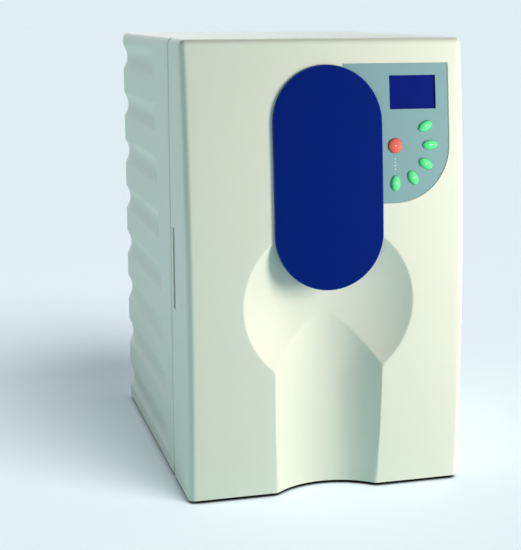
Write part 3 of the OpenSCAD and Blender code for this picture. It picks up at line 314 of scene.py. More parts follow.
lip_round = 0.0012
groove_w = 0.0038
groove_d = 0.0021
hood_side_rows = 288
hood_depth_rows = 116
turn = np.linspace(0, np.pi / 2, 5)
step_y = hood_front_y + groove_w
rows_y = np.concatenate([[hood_front_y, step_y], step_y + lip_round * (1 - np.sin(turn[::-1])),
                         np.linspace(step_y + lip_round, rear_y - lip_round, hood_depth_rows)[1:-1],
                         rear_y - lip_round * (1 - np.sin(turn))])
rows_in = np.concatenate([[groove_d, groove_d], lip_round * (1 - np.cos(turn[::-1])),
                          np.zeros(hood_depth_rows - 2), lip_round * (1 - np.cos(turn))])
x, z, nx, nz = arch_line(half_w, top_z, edge_r, hood_side_rows)
on_side = np.where(abs(nx) > 0.99, 1, 0)
inward = rows_in[:, None] + on_side * flute_depth_at(rows_y[:, None], z[None, :])
outer = np.stack([x - nx * inward, np.broadcast_to(rows_y[:, None], inward.shape), z - nz * inward], -1)
x, z, nx, nz = arch_line(inner_hw, top_z - top_wall, edge_r / 2, hood_side_rows)
inner = np.stack([np.stack([x, y + 0 * x, z], -1) for y in (rear_y, hood_front_y)])
shell = np.concatenate([outer, inner])
count_y, count_u = shell.shape[:2]
ends = [(np.arange(count_y) * count_u).tolist(), (np.arange(count_y) * count_u + count_u - 1).tolist()]
hood = make_mesh("cabinet_hood_shell", shell, grid_faces(count_y, count_u, wrap=True) + ends)

rear_sheet_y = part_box("rear_panel")[0].y
lip_w = 0.009
lip_t = 0.006
lips = [prism("lip", [(s * inner_hw, rear_sheet_y - lip_t), (s * (inner_hw - lip_w), rear_sheet_y - lip_t),
                      (s * (inner_hw - lip_w), rear_sheet_y), (s * inner_hw, rear_sheet_y)],
              base_z, top_z - top_wall, upright) for s in (-1, 1)]

pins_low, pins_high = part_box("hinge_pins")
hinge_l = 0.060
hinge_zs = (pins_low.z + hinge_l / 2, pins_high.z - hinge_l / 2)
knuckle_r = 0.00548
pin_bore_r = 0.00255
door_knuckle_l = 0.46 * hinge_l
knuckle_slip = 0.0003
hood_knuckle_l = (hinge_l - door_knuckle_l) / 2 - knuckle_slip
knuckle_room = 0.0004
chamfer = 0.0004


def knuckle(z, length):
    """A hinge knuckle: a bored ring about the hinge line with a small chamfer at both ends."""
    half = length / 2
    neck_r = knuckle_r - chamfer
    profile = [(pin_bore_r, -half), (neck_r, -half), (knuckle_r, chamfer - half),
               (knuckle_r, half - chamfer), (neck_r, half), (pin_bore_r, half)]
    return revolve("knuckle", profile, (hinge_x, seam_y, z), (0, 0, 1))


def knuckle_room_cutter(z, length):
    """The round space that the other leaf's knuckle turns in."""
    r = knuckle_r + knuckle_room
    half = length / 2 + knuckle_room
    profile = [(0, -half), (r, -half), (r, half), (0, half)]
    return revolve("room", profile, (hinge_x, seam_y, z), (0, 0, 1), closed=False)


hood_knuckle_zs = [z + s * (hinge_l - hood_knuckle_l) / 2 for z in hinge_zs for s in (-1, 1)]
for z in hinge_zs:
    cut(hood, knuckle_room_cutter(z, door_knuckle_l))
join(hood, *lips, *[knuckle(z, hood_knuckle_l) for z in hood_knuckle_zs])
fit(hood, shell_paint, "cabinet", "cabinet_hood", slot="shell")

# Door: a deep moulded box, open at the back, in the same cream plastic and paint as the hood.
# Its bowed front has a round dish with an upright trough below it for a flask,
# a sunk field for the keypad, holes for the keys, and a finger pocket in its left side.
door_rear_y = seam_y - seam_gap / 2
door_wall = 0.006
front_r = 2.480
bow_axis_y = front_y + front_r
bow_z = 0.150
bow_axis_z = base_z + bow_z
dish_r = 0.103
dish_depth = 0.0284
dish_drop = 0.304
dish_z = top_z - dish_drop
ball_r = (dish_r ** 2 + dish_depth ** 2) / (2 * dish_depth)
trough_hw = 0.0655
trough_depth = 0.0289
trough_r = (trough_hw ** 2 + trough_depth ** 2) / (2 * trough_depth)
trough_y = front_y + trough_depth - trough_r
rim_soft = 0.0005
crease_soft = 0.0003


def face_y(z):
    """The bowed front: a circle of the bow's radius about an axis along X far behind the door."""
    return bow_axis_y - np.sqrt(front_r ** 2 - (z - bow_axis_z) ** 2)


def face_tilt(z):
    """How far the bowed front leans back at a height."""
    return np.arcsin((z - bow_axis_z) / front_r)


dish_y = face_y(dish_z) - math.cos(face_tilt(dish_z)) * (ball_r - dish_depth)
ball_z = dish_z + math.sin(face_tilt(dish_z)) * (ball_r - dish_depth)


def soft_max(a, b, width):
    """The larger of two values, with the corner between them rounded over the width."""
    return 0.5 * (a + b + np.sqrt((a - b) ** 2 + width ** 2))


def dish_at(x, z, skin):
    """The dish: the back of a ball, grown by the skin."""
    return dish_y + np.sqrt(np.maximum((ball_r + skin) ** 2 - x ** 2 - (z - ball_z) ** 2, 1e-6))


def trough_at(x, skin):
    """The trough: the back of an upright round bar, grown by the skin."""
    return trough_y + np.sqrt(np.maximum((trough_r + skin) ** 2 - x ** 2, 1e-6))


def front_at(x, z, skin):
    """The door's front at a depth of skin: the furthest back of the bow, the dish and the trough."""
    below = np.where(z < ball_z, trough_at(x, skin), -1.0)
    recess = soft_max(dish_at(x, z, skin), below, crease_soft)
    return soft_max(face_y(z) + skin, recess, rim_soft)


floor_steps = 27
bank_steps = 25
face_steps = 33
face_crowding = 1.8
edge_steps = 9
side_steps = 12
rear_steps = 6
low_rows = 112
fan_rows = 9
top_arc_rows = 61
side_arc_rows = 56
fan_spread = math.radians(1.6)
crease_margin = 0.002
mark_reach = 0.045
halvings = 40


def door_sheet(hw, low, top, r, skin, thin, back_r):
    """The door's skin as a grid. Its lines run from the recess's middle out to the rim, on to the front's
    edge, round the edge and back along the side: level below the dish's middle, and rays from it above."""
    corner_x = hw - r
    corner_z = top - r
    z_low = np.linspace(low, dish_z, low_rows // thin)
    rim_x = np.where(z_low < dish_z - math.sqrt(dish_r ** 2 - trough_hw ** 2), trough_hw,
                     np.sqrt(np.maximum(dish_r ** 2 - (z_low - dish_z) ** 2, trough_hw ** 2)))
    near, far = 0 * z_low, rim_x.copy()
    for _ in range(halvings):
        mid = 0.5 * (near + far)
        deeper = trough_at(mid, 0) > dish_at(mid, z_low, 0)
        near, far = np.where(deeper, mid, near), np.where(deeper, far, mid)
    crease = np.clip(near, crease_margin, rim_x - crease_margin)
    corner = math.atan2(corner_z - dish_z, corner_x)
    side_angle = np.linspace(0, corner - fan_spread, side_arc_rows // thin)
    fan_angle = np.linspace(corner - fan_spread, corner + fan_spread, fan_rows)[1:-1]
    top_angle = np.linspace(corner + fan_spread, math.pi - corner - fan_spread, top_arc_rows // thin)
    fan_turn = np.linspace(0, math.pi / 2, fan_rows)[1:-1]
    right = np.concatenate([side_angle, fan_angle])
    out = np.concatenate([0 * side_angle, fan_turn, 0 * top_angle + math.pi / 2,
                          math.pi - fan_turn[::-1], 0 * side_angle + math.pi])
    angle = np.concatenate([right, top_angle, math.pi - right[::-1]])
    reach = np.minimum(corner_x / np.maximum(np.abs(np.cos(angle)), 1e-9),
                       (corner_z - dish_z) / np.maximum(np.sin(angle), 1e-9))
    in_fan = np.abs(np.abs(angle - math.pi / 2) - (math.pi / 2 - corner)) < fan_spread * 1.0001
    edge_x = np.where(in_fan, np.sign(np.cos(angle)) * corner_x, reach * np.cos(angle))
    edge_z = np.where(in_fan, corner_z, dish_z + reach * np.sin(angle))
    level = np.ones_like(z_low)

    def strip(low_part, arc_part):
        """One value per line: the level lines on the right upwards, the rays, those on the left."""
        right_part, left_part = low_part
        return np.concatenate([right_part[:-1], arc_part, left_part[::-1][1:]])

    spine_z = strip((z_low, z_low), dish_z + 0 * angle)
    mark_r = crease_margin + mark_reach * np.sin(angle)
    mark_x = strip((crease, -crease), mark_r * np.cos(angle))
    mark_z = strip((z_low, z_low), dish_z + mark_r * np.sin(angle))
    rim_px = strip((rim_x, -rim_x), dish_r * np.cos(angle))
    rim_pz = strip((z_low, z_low), dish_z + dish_r * np.sin(angle))
    edge_px = strip((corner_x * level, -corner_x * level), edge_x)
    edge_pz = strip((z_low, z_low), edge_z)
    out_x = strip((level, -level), np.cos(out))
    out_z = strip((0 * level, 0 * level), np.sin(out))

    def run(ax, az, bx, bz, share):
        """Points between two lists of points, at the given shares of the way."""
        return ax[:, None] + (bx - ax)[:, None] * share, az[:, None] + (bz - az)[:, None] * share

    on_floor = np.linspace(0, 1, floor_steps // thin)[:-1]
    on_bank = 1 - (1 - np.linspace(0, 1, bank_steps // thin + 1)[:-1]) ** 2
    on_front = np.linspace(0, 1, face_steps // thin) ** face_crowding
    parts = [run(0 * spine_z, spine_z, mark_x, mark_z, on_floor),
             run(mark_x, mark_z, rim_px, rim_pz, on_bank),
             run(rim_px, rim_pz, edge_px, edge_pz, on_front)]
    px = np.concatenate([p[0] for p in parts], 1)
    pz = np.concatenate([p[1] for p in parts], 1)
    py = front_at(px, pz, skin)
    bend = np.linspace(0, np.pi / 2, edge_steps)[1:]
    round_x = px[:, -1:] + out_x[:, None] * r * np.sin(bend)
    round_z = pz[:, -1:] + out_z[:, None] * r * np.sin(bend)
    round_y = py[:, -1:] + r * (1 - np.cos(bend))
    back = np.linspace(0, 1, side_steps)[1:]
    bend = np.linspace(0, np.pi / 2, rear_steps)[1:]
    inset = np.concatenate([0 * back, back_r * (1 - np.cos(bend))])
    side_x = round_x[:, -1:] - out_x[:, None] * inset
    side_z = round_z[:, -1:] - out_z[:, None] * inset
    rear_round = np.broadcast_to(door_rear_y - back_r * (1 - np.sin(bend)), (len(px), len(bend)))
    start_y = round_y[:, -1:]
    side_y = np.concatenate([start_y + (door_rear_y - back_r - start_y) * back, rear_round], 1)
    lines = (px, round_x, side_x), (py, round_y, side_y), (pz, round_z, side_z)
    return np.stack([np.concatenate(line, 1) for line in lines], -1)


outer = door_sheet(half_w, base_z, top_z, r=0.0078, skin=0.0, thin=1, back_r=0.0014)
inner = door_sheet(half_w - door_wall, base_z + door_wall, top_z - door_wall, r=0.002, skin=door_wall,
                   thin=2, back_r=0.0002)
points = np.vstack([outer.reshape(-1, 3), inner.reshape(-1, 3)])
lines, steps = outer.shape[:2]
in_lines, in_steps = inner.shape[:2]
first_in = lines * steps
outer_rear = np.arange(lines) * steps + steps - 1
inner_rear = first_in + np.arange(in_lines) * in_steps + in_steps - 1
rim = outer_rear.tolist() + inner_rear[::-1].tolist()
floor_out = np.arange(steps).tolist() + (np.arange(steps) + (lines - 1) * steps)[::-1].tolist()
floor_in = (first_in + np.arange(in_steps)).tolist()
floor_in += (first_in + np.arange(in_steps) + (in_lines - 1) * in_steps)[::-1].tolist()
sill = [int(outer_rear[0]), int(inner_rear[0]), int(inner_rear[-1]), int(outer_rear[-1])]
door = make_mesh("front_door_shell", points,
                 grid_faces(lines, steps) + grid_faces(in_lines, in_steps, start=first_in)
                 + [rim, floor_out, floor_in, sill])

panel_low, panel_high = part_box("keypad_panel")
lens_low, lens_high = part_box("display_lens")
panel_corner_r = 0.066
key_x = panel_high.x - panel_corner_r
red_z = panel_low.z + panel_corner_r
panel_sunk = 0.0004
panel_t = 0.0012
panel_play = 0.0003
panel_gap = 0.0012
corner_steps = 49
slab_rows = 61
slab_steps = 25


def panel_outline(grow):
    """The panel's outline: square but for its lower right corner, a quarter round about the red key."""
    arc = np.linspace(-np.pi / 2, 0, corner_steps)
    r = panel_corner_r + grow
    left, top = panel_low.x - grow, panel_high.z + grow
    return np.vstack([[(left, top), (left, panel_low.z - grow)],
                      np.stack([key_x + r * np.cos(arc), red_z + r * np.sin(arc)], -1),
                      [(panel_high.x + grow, top)]])


def sunk_slab(name, grow, out, depth, aside=0.0):
    """A slab of the panel's outline that follows the bow from out in front of it to depth behind it: each
    level line of the outline is cut into steps across, front and back. Its right side moves by aside."""
    outline = panel_outline(grow)
    z = np.unique(np.concatenate([np.linspace(outline[:, 1].min(), outline[:, 1].max(), slab_rows),
                                  outline[2:-1, 1]]))
    rounded = key_x + np.sqrt(np.maximum((panel_corner_r + grow) ** 2 - (z - red_z) ** 2, 0))
    right = np.where(z < red_z, rounded, outline[:, 0].max())
    share = np.linspace(0, 1, slab_steps)
    px = outline[0, 0] + (right + aside - outline[0, 0])[:, None] * share
    pz = z[:, None] + 0 * px
    front = np.stack([px, face_y(pz) - out, pz], -1)
    back = np.stack([px, face_y(pz) + depth, pz], -1)
    return capped_rings(name, np.concatenate([front, back[:, ::-1]], 1))


def on_face(x, z, tilt):
    """A function that puts local (across, up, out) on the bowed front at x and z, leaning back by tilt."""
    origin = np.array([x, float(face_y(z)), z])
    axes = np.array([[1, 0, 0], [0, math.sin(tilt), math.cos(tilt)], [0, -math.cos(tilt), math.sin(tilt)]])

    def place(a, b, c):
        """Local coordinates to points: the origin and each coordinate times its axis, added up."""
        return origin + sum(np.multiply.outer(way, axis) for way, axis in zip((a, b, c), axes))

    return place


def ring_points(rx, ry, count=48):
    """An ellipse outline."""
    angle = np.linspace(0, 2 * np.pi, count, endpoint=False)
    return np.stack([rx * np.cos(angle), ry * np.sin(angle)], -1)


def rectangle(w, h):
    """A rectangle about the origin."""
    return [(-w / 2, -h / 2), (w / 2, -h / 2), (w / 2, h / 2), (-w / 2, h / 2)]


key_tilt = float(face_tilt(red_z))
key_ring_r = 0.0433
key_angles = (30, 0, -30, -60, -90)
key_places = [(key_x, red_z)] + [(key_x + key_ring_r * math.cos(math.radians(a)),
                                  red_z + key_ring_r * math.sin(math.radians(a))) for a in key_angles]
key_well_r = 0.0106
display_x = (lens_low.x + lens_high.x) / 2
display_z = (lens_low.z + lens_high.z) / 2
display_w, display_h = 0.057, 0.039
lens_lip = 0.003
well_deep = 0.012
well_out = 0.006
wells = [prism("well", ring_points(key_well_r, key_well_r), -well_deep, well_out, on_face(x, z, key_tilt))
         for x, z in key_places]
on_display = on_face(display_x, display_z, float(face_tilt(display_z)))
wells.append(prism("well", rectangle(display_w + 2 * lens_lip, display_h + 2 * lens_lip),
                   -well_deep, well_out, on_display))
cut(door, sunk_slab("field", panel_play, out=0.004, depth=panel_sunk + panel_t, aside=panel_gap))
cut(door, join(*wells))

pocket_edge_y = front_y + 0.0843
pocket_run = 0.0226
pocket_deep = 0.009
pocket_low_z, pocket_high_z = base_z + 0.214, base_z + 0.311
pocket_wall = 0.004
pocket_slot = 0.0046
pocket_ramp = 0.0011
pocket_lip = 0.0007
pocket_under = 0.002
left_skin = 0.003
left_out = 0.002


def beside_left(pairs):
    """Places given by the depth inside the door's left face and the distance behind the pocket's edge."""
    return [(inside - half_w, pocket_edge_y + behind) for inside, behind in pairs]


backing = beside_left([(left_skin, pocket_wall), (left_skin, -pocket_run - 2 * pocket_wall),
                       (pocket_deep + pocket_wall, 0), (pocket_deep + pocket_wall, pocket_wall)])
cut(door, prism("pocket_backing", backing, pocket_low_z - pocket_wall, pocket_high_z + pocket_wall,
                upright), "UNION")
pocket = beside_left([(-left_out, 0), (-left_out, -pocket_run), (0, -pocket_run),
                      (pocket_ramp, -pocket_slot), (pocket_deep, -pocket_slot), (pocket_deep, pocket_under),
                      (pocket_lip, pocket_under), (pocket_lip, 0)])
cut(door, prism("pocket", pocket, pocket_low_z, pocket_high_z, upright))
for z in hood_knuckle_zs:
    cut(door, knuckle_room_cutter(z, hood_knuckle_l))
join(door, *[knuckle(z, door_knuckle_l) for z in hinge_zs])
fit(door, shell_paint, "door", "front_door", slot="shell")

# Dispense cover: the long oval plate of deep blue plastic that hides the spout.
# It is moulded with a rounded front edge, follows the bow of the door and is pegged to it.
# Along that edge a lighter blue is mixed in: a painted highlight where the rounded edge would catch the light.
cover_low, cover_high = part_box("dispense_cover")
cover_hw = cover_high.x
cover_low_z = cover_low.z + cover_hw
cover_high_z = cover_high.z - cover_hw
cover_t = 0.003
cover_gap = 0.0003
cover_edge_r = 0.0014
# Lighter blue of the painted highlight along the cover's rim.
cover_rim_highlight_blue = (0.05, 0.11, 0.40, 1)
highlight_starts, highlight_full = 0.9, 0.2
cover_blue = finish("cover_blue", (0.0012, 0.017, 0.222, 1), 0.6, grain=900.0, bump=0.00002, drift=0.10,
                    drift_scale=40.0, rough_drift=0.10, Specular_IOR_Level=0.03)


def oval_line(hw, low, high, arc_count=48, side_count=40):
    """A long oval, anticlockwise from the lower end of its right side, and the spine point of each place on
    it: a straight side, a half round, the other side and the other half round."""
    side = np.linspace(low, high, side_count)
    arc = np.linspace(0, np.pi, arc_count)[1:-1]
    spine = np.concatenate([side, high + 0 * arc, side[::-1], low + 0 * arc])
    x = np.concatenate([hw + 0 * side, hw * np.cos(arc), -hw + 0 * side, -hw * np.cos(arc)])
    z = np.concatenate([side, high + hw * np.sin(arc), side[::-1], low - hw * np.sin(arc)])
    return x, z, spine


x, z, spine = oval_line(cover_hw, cover_low_z, cover_high_z)
flat_rows = 11
bend = np.linspace(0, np.pi / 2, 8)
share = np.concatenate([np.linspace(0, 1 - cover_edge_r / cover_hw, flat_rows + 1)[:-1],
                        1 - cover_edge_r * (1 - np.sin(bend)) / cover_hw, [1, 0.5, 0]])
out = np.concatenate([np.full(flat_rows, cover_t), cover_t - cover_edge_r * (1 - np.cos(bend)),
                      np.full(3, cover_gap)])
px = x[:, None] * share
pz = spine[:, None] + (z - spine)[:, None] * share
py = face_y(pz) - out
cover = make_mesh("dispense_cover_plate", np.stack([px, py, pz], -1),
                  grid_faces(len(x), len(share), wrap=True))


def mixed(tree, share, first, second):
    """A colour between two: the first where the share is 0, the second where it is 1."""
    return add_node(tree, "Mix", {0: share, 6: first, 7: second}, data_type="RGBA").outputs[2]


def map_range(tree, value, low, high, at_low=0.0, at_high=1.0):
    """A value's way from low to high, as a number that runs from at_low to at_high."""
    return add_node(tree, "MapRange", {"Value": value, "From Min": low, "From Max": high,
                                       "To Min": at_low, "To Max": at_high}).outputs[0]


# Painted highlight: a mask on the rounded rim mixes in a lighter blue, in place of the light that the edge
# catches.
oval = cover_blue.node_tree
axes = add_node(oval, "SeparateXYZ", {0: add_node(oval, "TexCoord").outputs["Object"]}).outputs
from_middle = calc(oval, "ABSOLUTE", calc(oval, "SUBTRACT", axes["Z"], (cover_low_z + cover_high_z) / 2))
past_end = calc(oval, "MAXIMUM", calc(oval, "SUBTRACT", from_middle, (cover_high_z - cover_low_z) / 2), 0.0)
off_spine = add_node(oval, "CombineXYZ", {"X": axes["X"], "Z": past_end}).outputs[0]
reach = add_node(oval, "VectorMath", {0: off_spine}, operation="LENGTH").outputs["Value"]
rim_highlight_mask = map_range(oval, reach, cover_hw - highlight_starts * cover_edge_r,
                      cover_hw - highlight_full * cover_edge_r)
rim_highlight_tone = mixed(oval, rim_highlight_mask, oval.nodes["Group"].outputs["Colour"], cover_rim_highlight_blue)
plug(oval, oval.nodes["Principled BSDF"], {"Base Color": rim_highlight_tone})
fit(cover, cover_blue, "door", "dispense_cover", slot="cover_blue")

# Spout: a white moulded elbow behind the cover that pours into a flask held in the dish.
# It is pushed onto the outlet stub of the valve in the door.
white_moulding = finish("white_moulding", (0.80, 0.82, 0.83, 1), 0.34, bump=0.00002)


def merged_copy(node, angle=32.0):
    """The node's own mesh as a new piece, its triangles joined and shaded smooth up to the angle."""
    mesh = frame["nodes"][node].data.copy()
    mesh.name = node + "_piece"
    work = bmesh.new()
    work.from_mesh(mesh)
    bmesh.ops.remove_doubles(work, verts=work.verts, dist=1e-6)
    work.to_mesh(mesh)
    work.free()
    piece = add_object(node + "_piece", mesh)
    smooth(piece, angle)
    even = piece.modifiers.new("even", "WEIGHTED_NORMAL")
    even.keep_sharp = True
    even.weight = 100
    apply_modifier(piece, even)
    return piece


bodies = frame["record"]["behaviour"]["bodies"]
body_of = {node: body for body, nodes in bodies.items() for node in nodes}
slot_of = {part["node"]: part["material_slot"] for part in frame["record"]["subparts"]}


def dress(material, *nodes, angle=32.0):
    """Puts a merged, smooth copy with this finish in the place of each node."""
    return [fit(merged_copy(node, angle), material, body_of[node], node, slot=slot_of[node])
            for node in nodes]


dress(white_moulding, "dispense_nozzle")

# Keypad panel: a printed film on a thin plate, laid in the door's sunk field, teal grey,
# with a window for the display and holes for the keys.
panel_teal = finish("panel_teal", (0.28, 0.45, 0.515, 1), 0.5, grain=1800.0, bump=0.00002, drift=0.05,
                    drift_scale=25.0, Specular_IOR_Level=0.2)
key_gap = 0.00035
red_r = 0.0085
green_rx, green_ry = 0.009, 0.0055
panel = sunk_slab("keypad_panel_film", 0.0, -panel_sunk, panel_sunk + panel_t)


def turned(outline, degrees):
    """An outline turned about the origin."""
    c, s = math.cos(math.radians(degrees)), math.sin(math.radians(degrees))
    return np.asarray(outline) @ np.array([[c, s], [-s, c]])


hole_reach = 0.006
holes = [prism("hole", ring_points(red_r + key_gap, red_r + key_gap), -hole_reach, hole_reach,
               on_face(key_x, red_z, key_tilt))]
for (x, z), a in zip(key_places[1:], key_angles):
    holes.append(prism("hole", turned(ring_points(green_rx + key_gap, green_ry + key_gap), a),
                       -hole_reach, hole_reach, on_face(x, z, key_tilt)))
holes.append(prism("hole", rectangle(display_w, display_h), -hole_reach, hole_reach, on_display))
cut(panel, join(*holes))
fit(panel, panel_teal, "door", "keypad_panel", slot="panel_teal")

# Display: a dark blue liquid crystal window, blank as in the photograph.
# Its lens is a flat plastic sheet, laid in a well of the door under the panel's window.
lens_blue = finish("display_blue", (0.0015, 0.012, 0.225, 1), 0.35, grain=600.0, bump=0.000005,
                   drift=0.08, drift_scale=60.0, Specular_IOR_Level=0.05)
dress(lens_blue, "display_lens")

# Keys: one round red and five oval green push keys, moulded as domed caps with a flange under the panel
# and a plunger to the switch behind. Each slides in its own hole.
key_red = finish("key_red", (0.98, 0.16, 0.125, 1), 0.5, bump=0.00001, Specular_IOR_Level=0.25)
key_green = finish("key_green", (0.14, 0.96, 0.36, 1), 0.5, bump=0.00001, Specular_IOR_Level=0.25)
print_white = finish("print_white", (0.86, 0.88, 0.84, 1), 0.5, bump=0.000005)
key_rise = 0.0026
flange_lip = 0.0009
flange_t = 0.001
plunger_r = 0.003
plunger_end = 0.0139
flange_gap = 0.0003
dome_power = 0.8
dome_steps = 16
key_sides = 56
plunger_sides = 24


def key_cap(name, rx, ry, degrees, x, z):
    """A key: an ellipse carried along a section of (share of its radius, added radius, height) that domes
    over the top, drops down the side and steps out to the flange. A round plunger is joined on below."""
    place = on_face(x, z, key_tilt)
    under = -panel_sunk - panel_t - flange_gap
    foot = under - flange_t
    dome_h = key_rise + panel_sunk
    section = [(math.sin(e) ** dome_power, 0, dome_h * math.cos(e) ** dome_power - panel_sunk)
               for e in np.linspace(0, np.pi / 2, dome_steps)[:-1]]
    section += [(1, 0, -panel_sunk), (1, 0, under), (1, flange_lip, under), (1, flange_lip, foot),
                (0, 0, foot)]
    share, grow, height = np.array(section).T
    ring = ring_points(1.0, 1.0, key_sides)[:, None, :]
    oval = turned(ring * np.stack([rx * share + grow, ry * share + grow], -1), degrees)
    cap = make_mesh(name, place(oval[..., 0], oval[..., 1], height + 0 * oval[..., 0]),
                    grid_faces(*oval.shape[:2], wrap=True), angle=50.0)
    plunger = ring_points(plunger_r, plunger_r, plunger_sides)
    return join(cap, prism(name + "_stem", plunger, -plunger_end, foot, place))


keys = ["red_key"] + [f"green_key_{i}" for i in range(1, 6)]
for name, (x, z), a in zip(keys, key_places, (0,) + key_angles):
    rx, ry = (red_r, red_r) if name == "red_key" else (green_rx, green_ry)
    cap = key_cap(name + "_cap", rx, ry, a, x, z)
    fit(cap, key_red if name == "red_key" else key_green, name + "_body", name, slot=slot_of[name])

# Key marks and dots: small signs printed in white on the keys, plain arrows, bars and a dot,
# and a row of four dots printed on the panel below the red key.
ink_t = 0.00006
mark_depth = 0.0005
arrow = np.array([(-0.5, -1), (0.5, -1), (0.5, 0.1), (1.3, 0.1), (0, 1.4), (-1.3, 0.1),
                  (-0.5, 0.1)]) * 0.001
bar = np.array(rectangle(0.0042, 0.0011))
dash = np.array(rectangle(0.0022, 0.0011))
marks = {"red_key": dash, "green_key_1": arrow, "green_key_2": bar, "green_key_3": -arrow,
         "green_key_4": bar, "green_key_5": ring_points(0.0010, 0.0010, 24)}
for (name, outline), (x, z) in zip(marks.items(), key_places):
    mark = prism(name + "_mark", outline, key_rise - mark_depth, key_rise + ink_t,
                 on_face(x, z, key_tilt))
    fit(mark, print_white, name + "_body", slot=slot_of[name])
dot_r = 0.00075
dot_zs = red_z - np.array([0.015, 0.019, 0.023, 0.027])
dots = [prism("dot", ring_points(dot_r, dot_r, 20), -panel_sunk - panel_t / 2, ink_t - panel_sunk,
              on_face(key_x, z, float(face_tilt(z)))) for z in dot_zs]
fit(join(*dots), print_white, "door", slot="panel_teal").name = "keypad_dots"

# Sheet metal: base tray, chassis plate, rear panel, pump foot and the cases of supply and display module
# are bent and punched from bright sheet. Screws, hinge pins, posts and the catch's strike are bare steel.
sheet_steel = finish("sheet_steel", (0.60, 0.61, 0.63, 1), 0.40, grain=900.0, bump=0.00002, drift=0.06,
                     rough_drift=0.3, stretch=(0.03, 1, 1), Metallic=0.85)
pin_steel = finish("pin_steel", (0.62, 0.63, 0.65, 1), 0.25, grain=900.0, bump=0.00001, Metallic=1.0)
dress(sheet_steel, "base_tray", "chassis_plate", "rear_panel", "pump_foot", "power_supply",
      "display_module")
dress(pin_steel, "panel_screws", "hinge_pins", "catch_strike", "board_standoffs")

# Feet: four round pads moulded in black rubber, one near each corner of the tray.
# Each has a stud with a swollen end that snaps into a hole in the tray.
rubber = finish("rubber_black", (0.018, 0.018, 0.02, 1), 0.75, grain=1200.0, bump=0.00005)
dress(rubber, "rubber_feet")

# Membrane modules: white pressure tubes with grey caps and wound elements inside, held by sprung clips.
# Filter and pump heads, valves and collets are the same grey, the rear fittings the same white.
grey_moulding = finish("grey_moulding", (0.16, 0.17, 0.19, 1), 0.45, bump=0.00003)
filter_media = finish("filter_media", (0.78, 0.77, 0.72, 1), 0.85, grain=500.0, bump=0.0003)
dress(white_moulding, "membrane_housing_1", "membrane_housing_2", "rear_fittings")
dress(grey_moulding, "membrane_cap_1", "membrane_cap_2", "module_clips", "carbon_head", "polish_head",
      "pump_head", "inlet_valve", "flush_valve", "dispense_valve", "feed_collet", "drain_collet",
      "product_collet")
dress(filter_media, "membrane_elements", "filter_cartridges")

# Filter bowls: one of clear blue plastic for the carbon block, one of milky white for the polishing bed.
# Both are moulded with a ribbed collar, by which they are turned up into their heads.
bowl_clear = finish("bowl_clear", (0.55, 0.75, 0.92, 1), 0.12, bump=0.00001,
                    Transmission_Weight=0.85, IOR=1.5)
bowl_white = finish("bowl_white", (0.86, 0.89, 0.92, 1), 0.25, bump=0.00001,
                    Transmission_Weight=0.5, IOR=1.5)
dress(bowl_clear, "carbon_bowl")
dress(bowl_white, "polish_bowl")

# Pump motor, conductivity cell, catch magnet and mains inlet are satin black, the inlet's rocker is red.
# The motor is a painted steel can fixed to the pump's head, the others have moulded plastic cases.
black_moulding = finish("black_moulding", (0.02, 0.02, 0.022, 1), 0.42, bump=0.00003)
motor_black = finish("motor_black", (0.022, 0.022, 0.025, 1), 0.36, bump=0.00002, Metallic=0.3)
dress(motor_black, "pump_motor")
dress(black_moulding, "conductivity_cell", "catch_magnet", "power_inlet")
dress(key_red, "switch_rocker")

# Circuit boards: green glass fibre with copper tracks under the lacquer,
# black moulded parts and metal cans soldered on and standing on posts.
circuit_green = finish("circuit_green", (0.012, 0.11, 0.045, 1), 0.32, grain=900.0, bump=0.00003)
copper_green = (0.06, 0.30, 0.10, 1)
tracks = circuit_green.node_tree
on_plan = add_node(tracks, "Mapping", {"Vector": add_node(tracks, "TexCoord").outputs["Object"],
                                       "Rotation": (math.radians(90), 0, 0)}).outputs[0]
lines = add_node(tracks, "TexBrick", {"Vector": on_plan, "Scale": 60.0, "Mortar Size": 0.03,
                                      "Color1": (0, 0, 0, 1), "Color2": (0.35, 0.35, 0.35, 1),
                                      "Mortar": (1, 1, 1, 1)}).outputs["Color"]
copper = mixed(tracks, lines, tracks.nodes["Group"].outputs["Colour"], copper_green)
plug(tracks, tracks.nodes["Principled BSDF"], {"Base Color": copper})
board_t = 0.0016
depth_steps = 200
layer_half = 0.6 * board_t


def dress_board(node, up):
    """A board: faces within the board's own thickness are lacquered, what stands on it is black moulding.
    The board is the layer across the direction up that holds the largest area of faces."""
    piece, = dress(circuit_green, node)
    mesh = piece.data
    mesh.materials.append(black_moulding)
    centres = np.empty(len(mesh.polygons) * 3)
    mesh.polygons.foreach_get("center", centres)
    depth = centres.reshape(-1, 3) @ np.asarray(up, float)
    areas = np.empty(len(mesh.polygons))
    mesh.polygons.foreach_get("area", areas)
    steps = np.linspace(depth.min(), depth.max(), depth_steps)
    weight = [areas[np.abs(depth - s) < layer_half].sum() for s in steps]
    middle = steps[int(np.argmax(weight))]
    mesh.polygons.foreach_set("material_index", (np.abs(depth - middle) > board_t).astype(np.int32))
    mesh.update()


dress_board("control_board", (0, 1, 0))
dress_board("keypad_board", (0, -math.cos(key_tilt), math.sin(key_tilt)))

# Tubing: translucent white plastic tube, drawn in long lengths and cut to fit.
# Each length is pushed into its fittings and bent along its route.
tube_plastic = finish("tube_plastic", (0.74, 0.80, 0.86, 1), 0.35, bump=0.00001)
dress(tube_plastic, "feed_tubes", "pump_in_tube", "pump_out_tube", "crossover_tube", "reject_tube",
      "permeate_tubes", "polisher_tube", "outlet_tubes")

# Ribbon: a flat cable of twenty grey cores moulded side by side, from the keypad's board round the hinge
# to the chassis plate.
ribbon_grey = finish("ribbon_grey", (0.25, 0.26, 0.28, 1), 0.5, grain=500.0, bump=0.00002)
ribbon_low, ribbon_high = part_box("control_ribbon")
ribbon_t = 0.0012
ribbon_bend = 0.007
ribbon_cores = 20
between_cores = 0.45
end_inset = 0.003


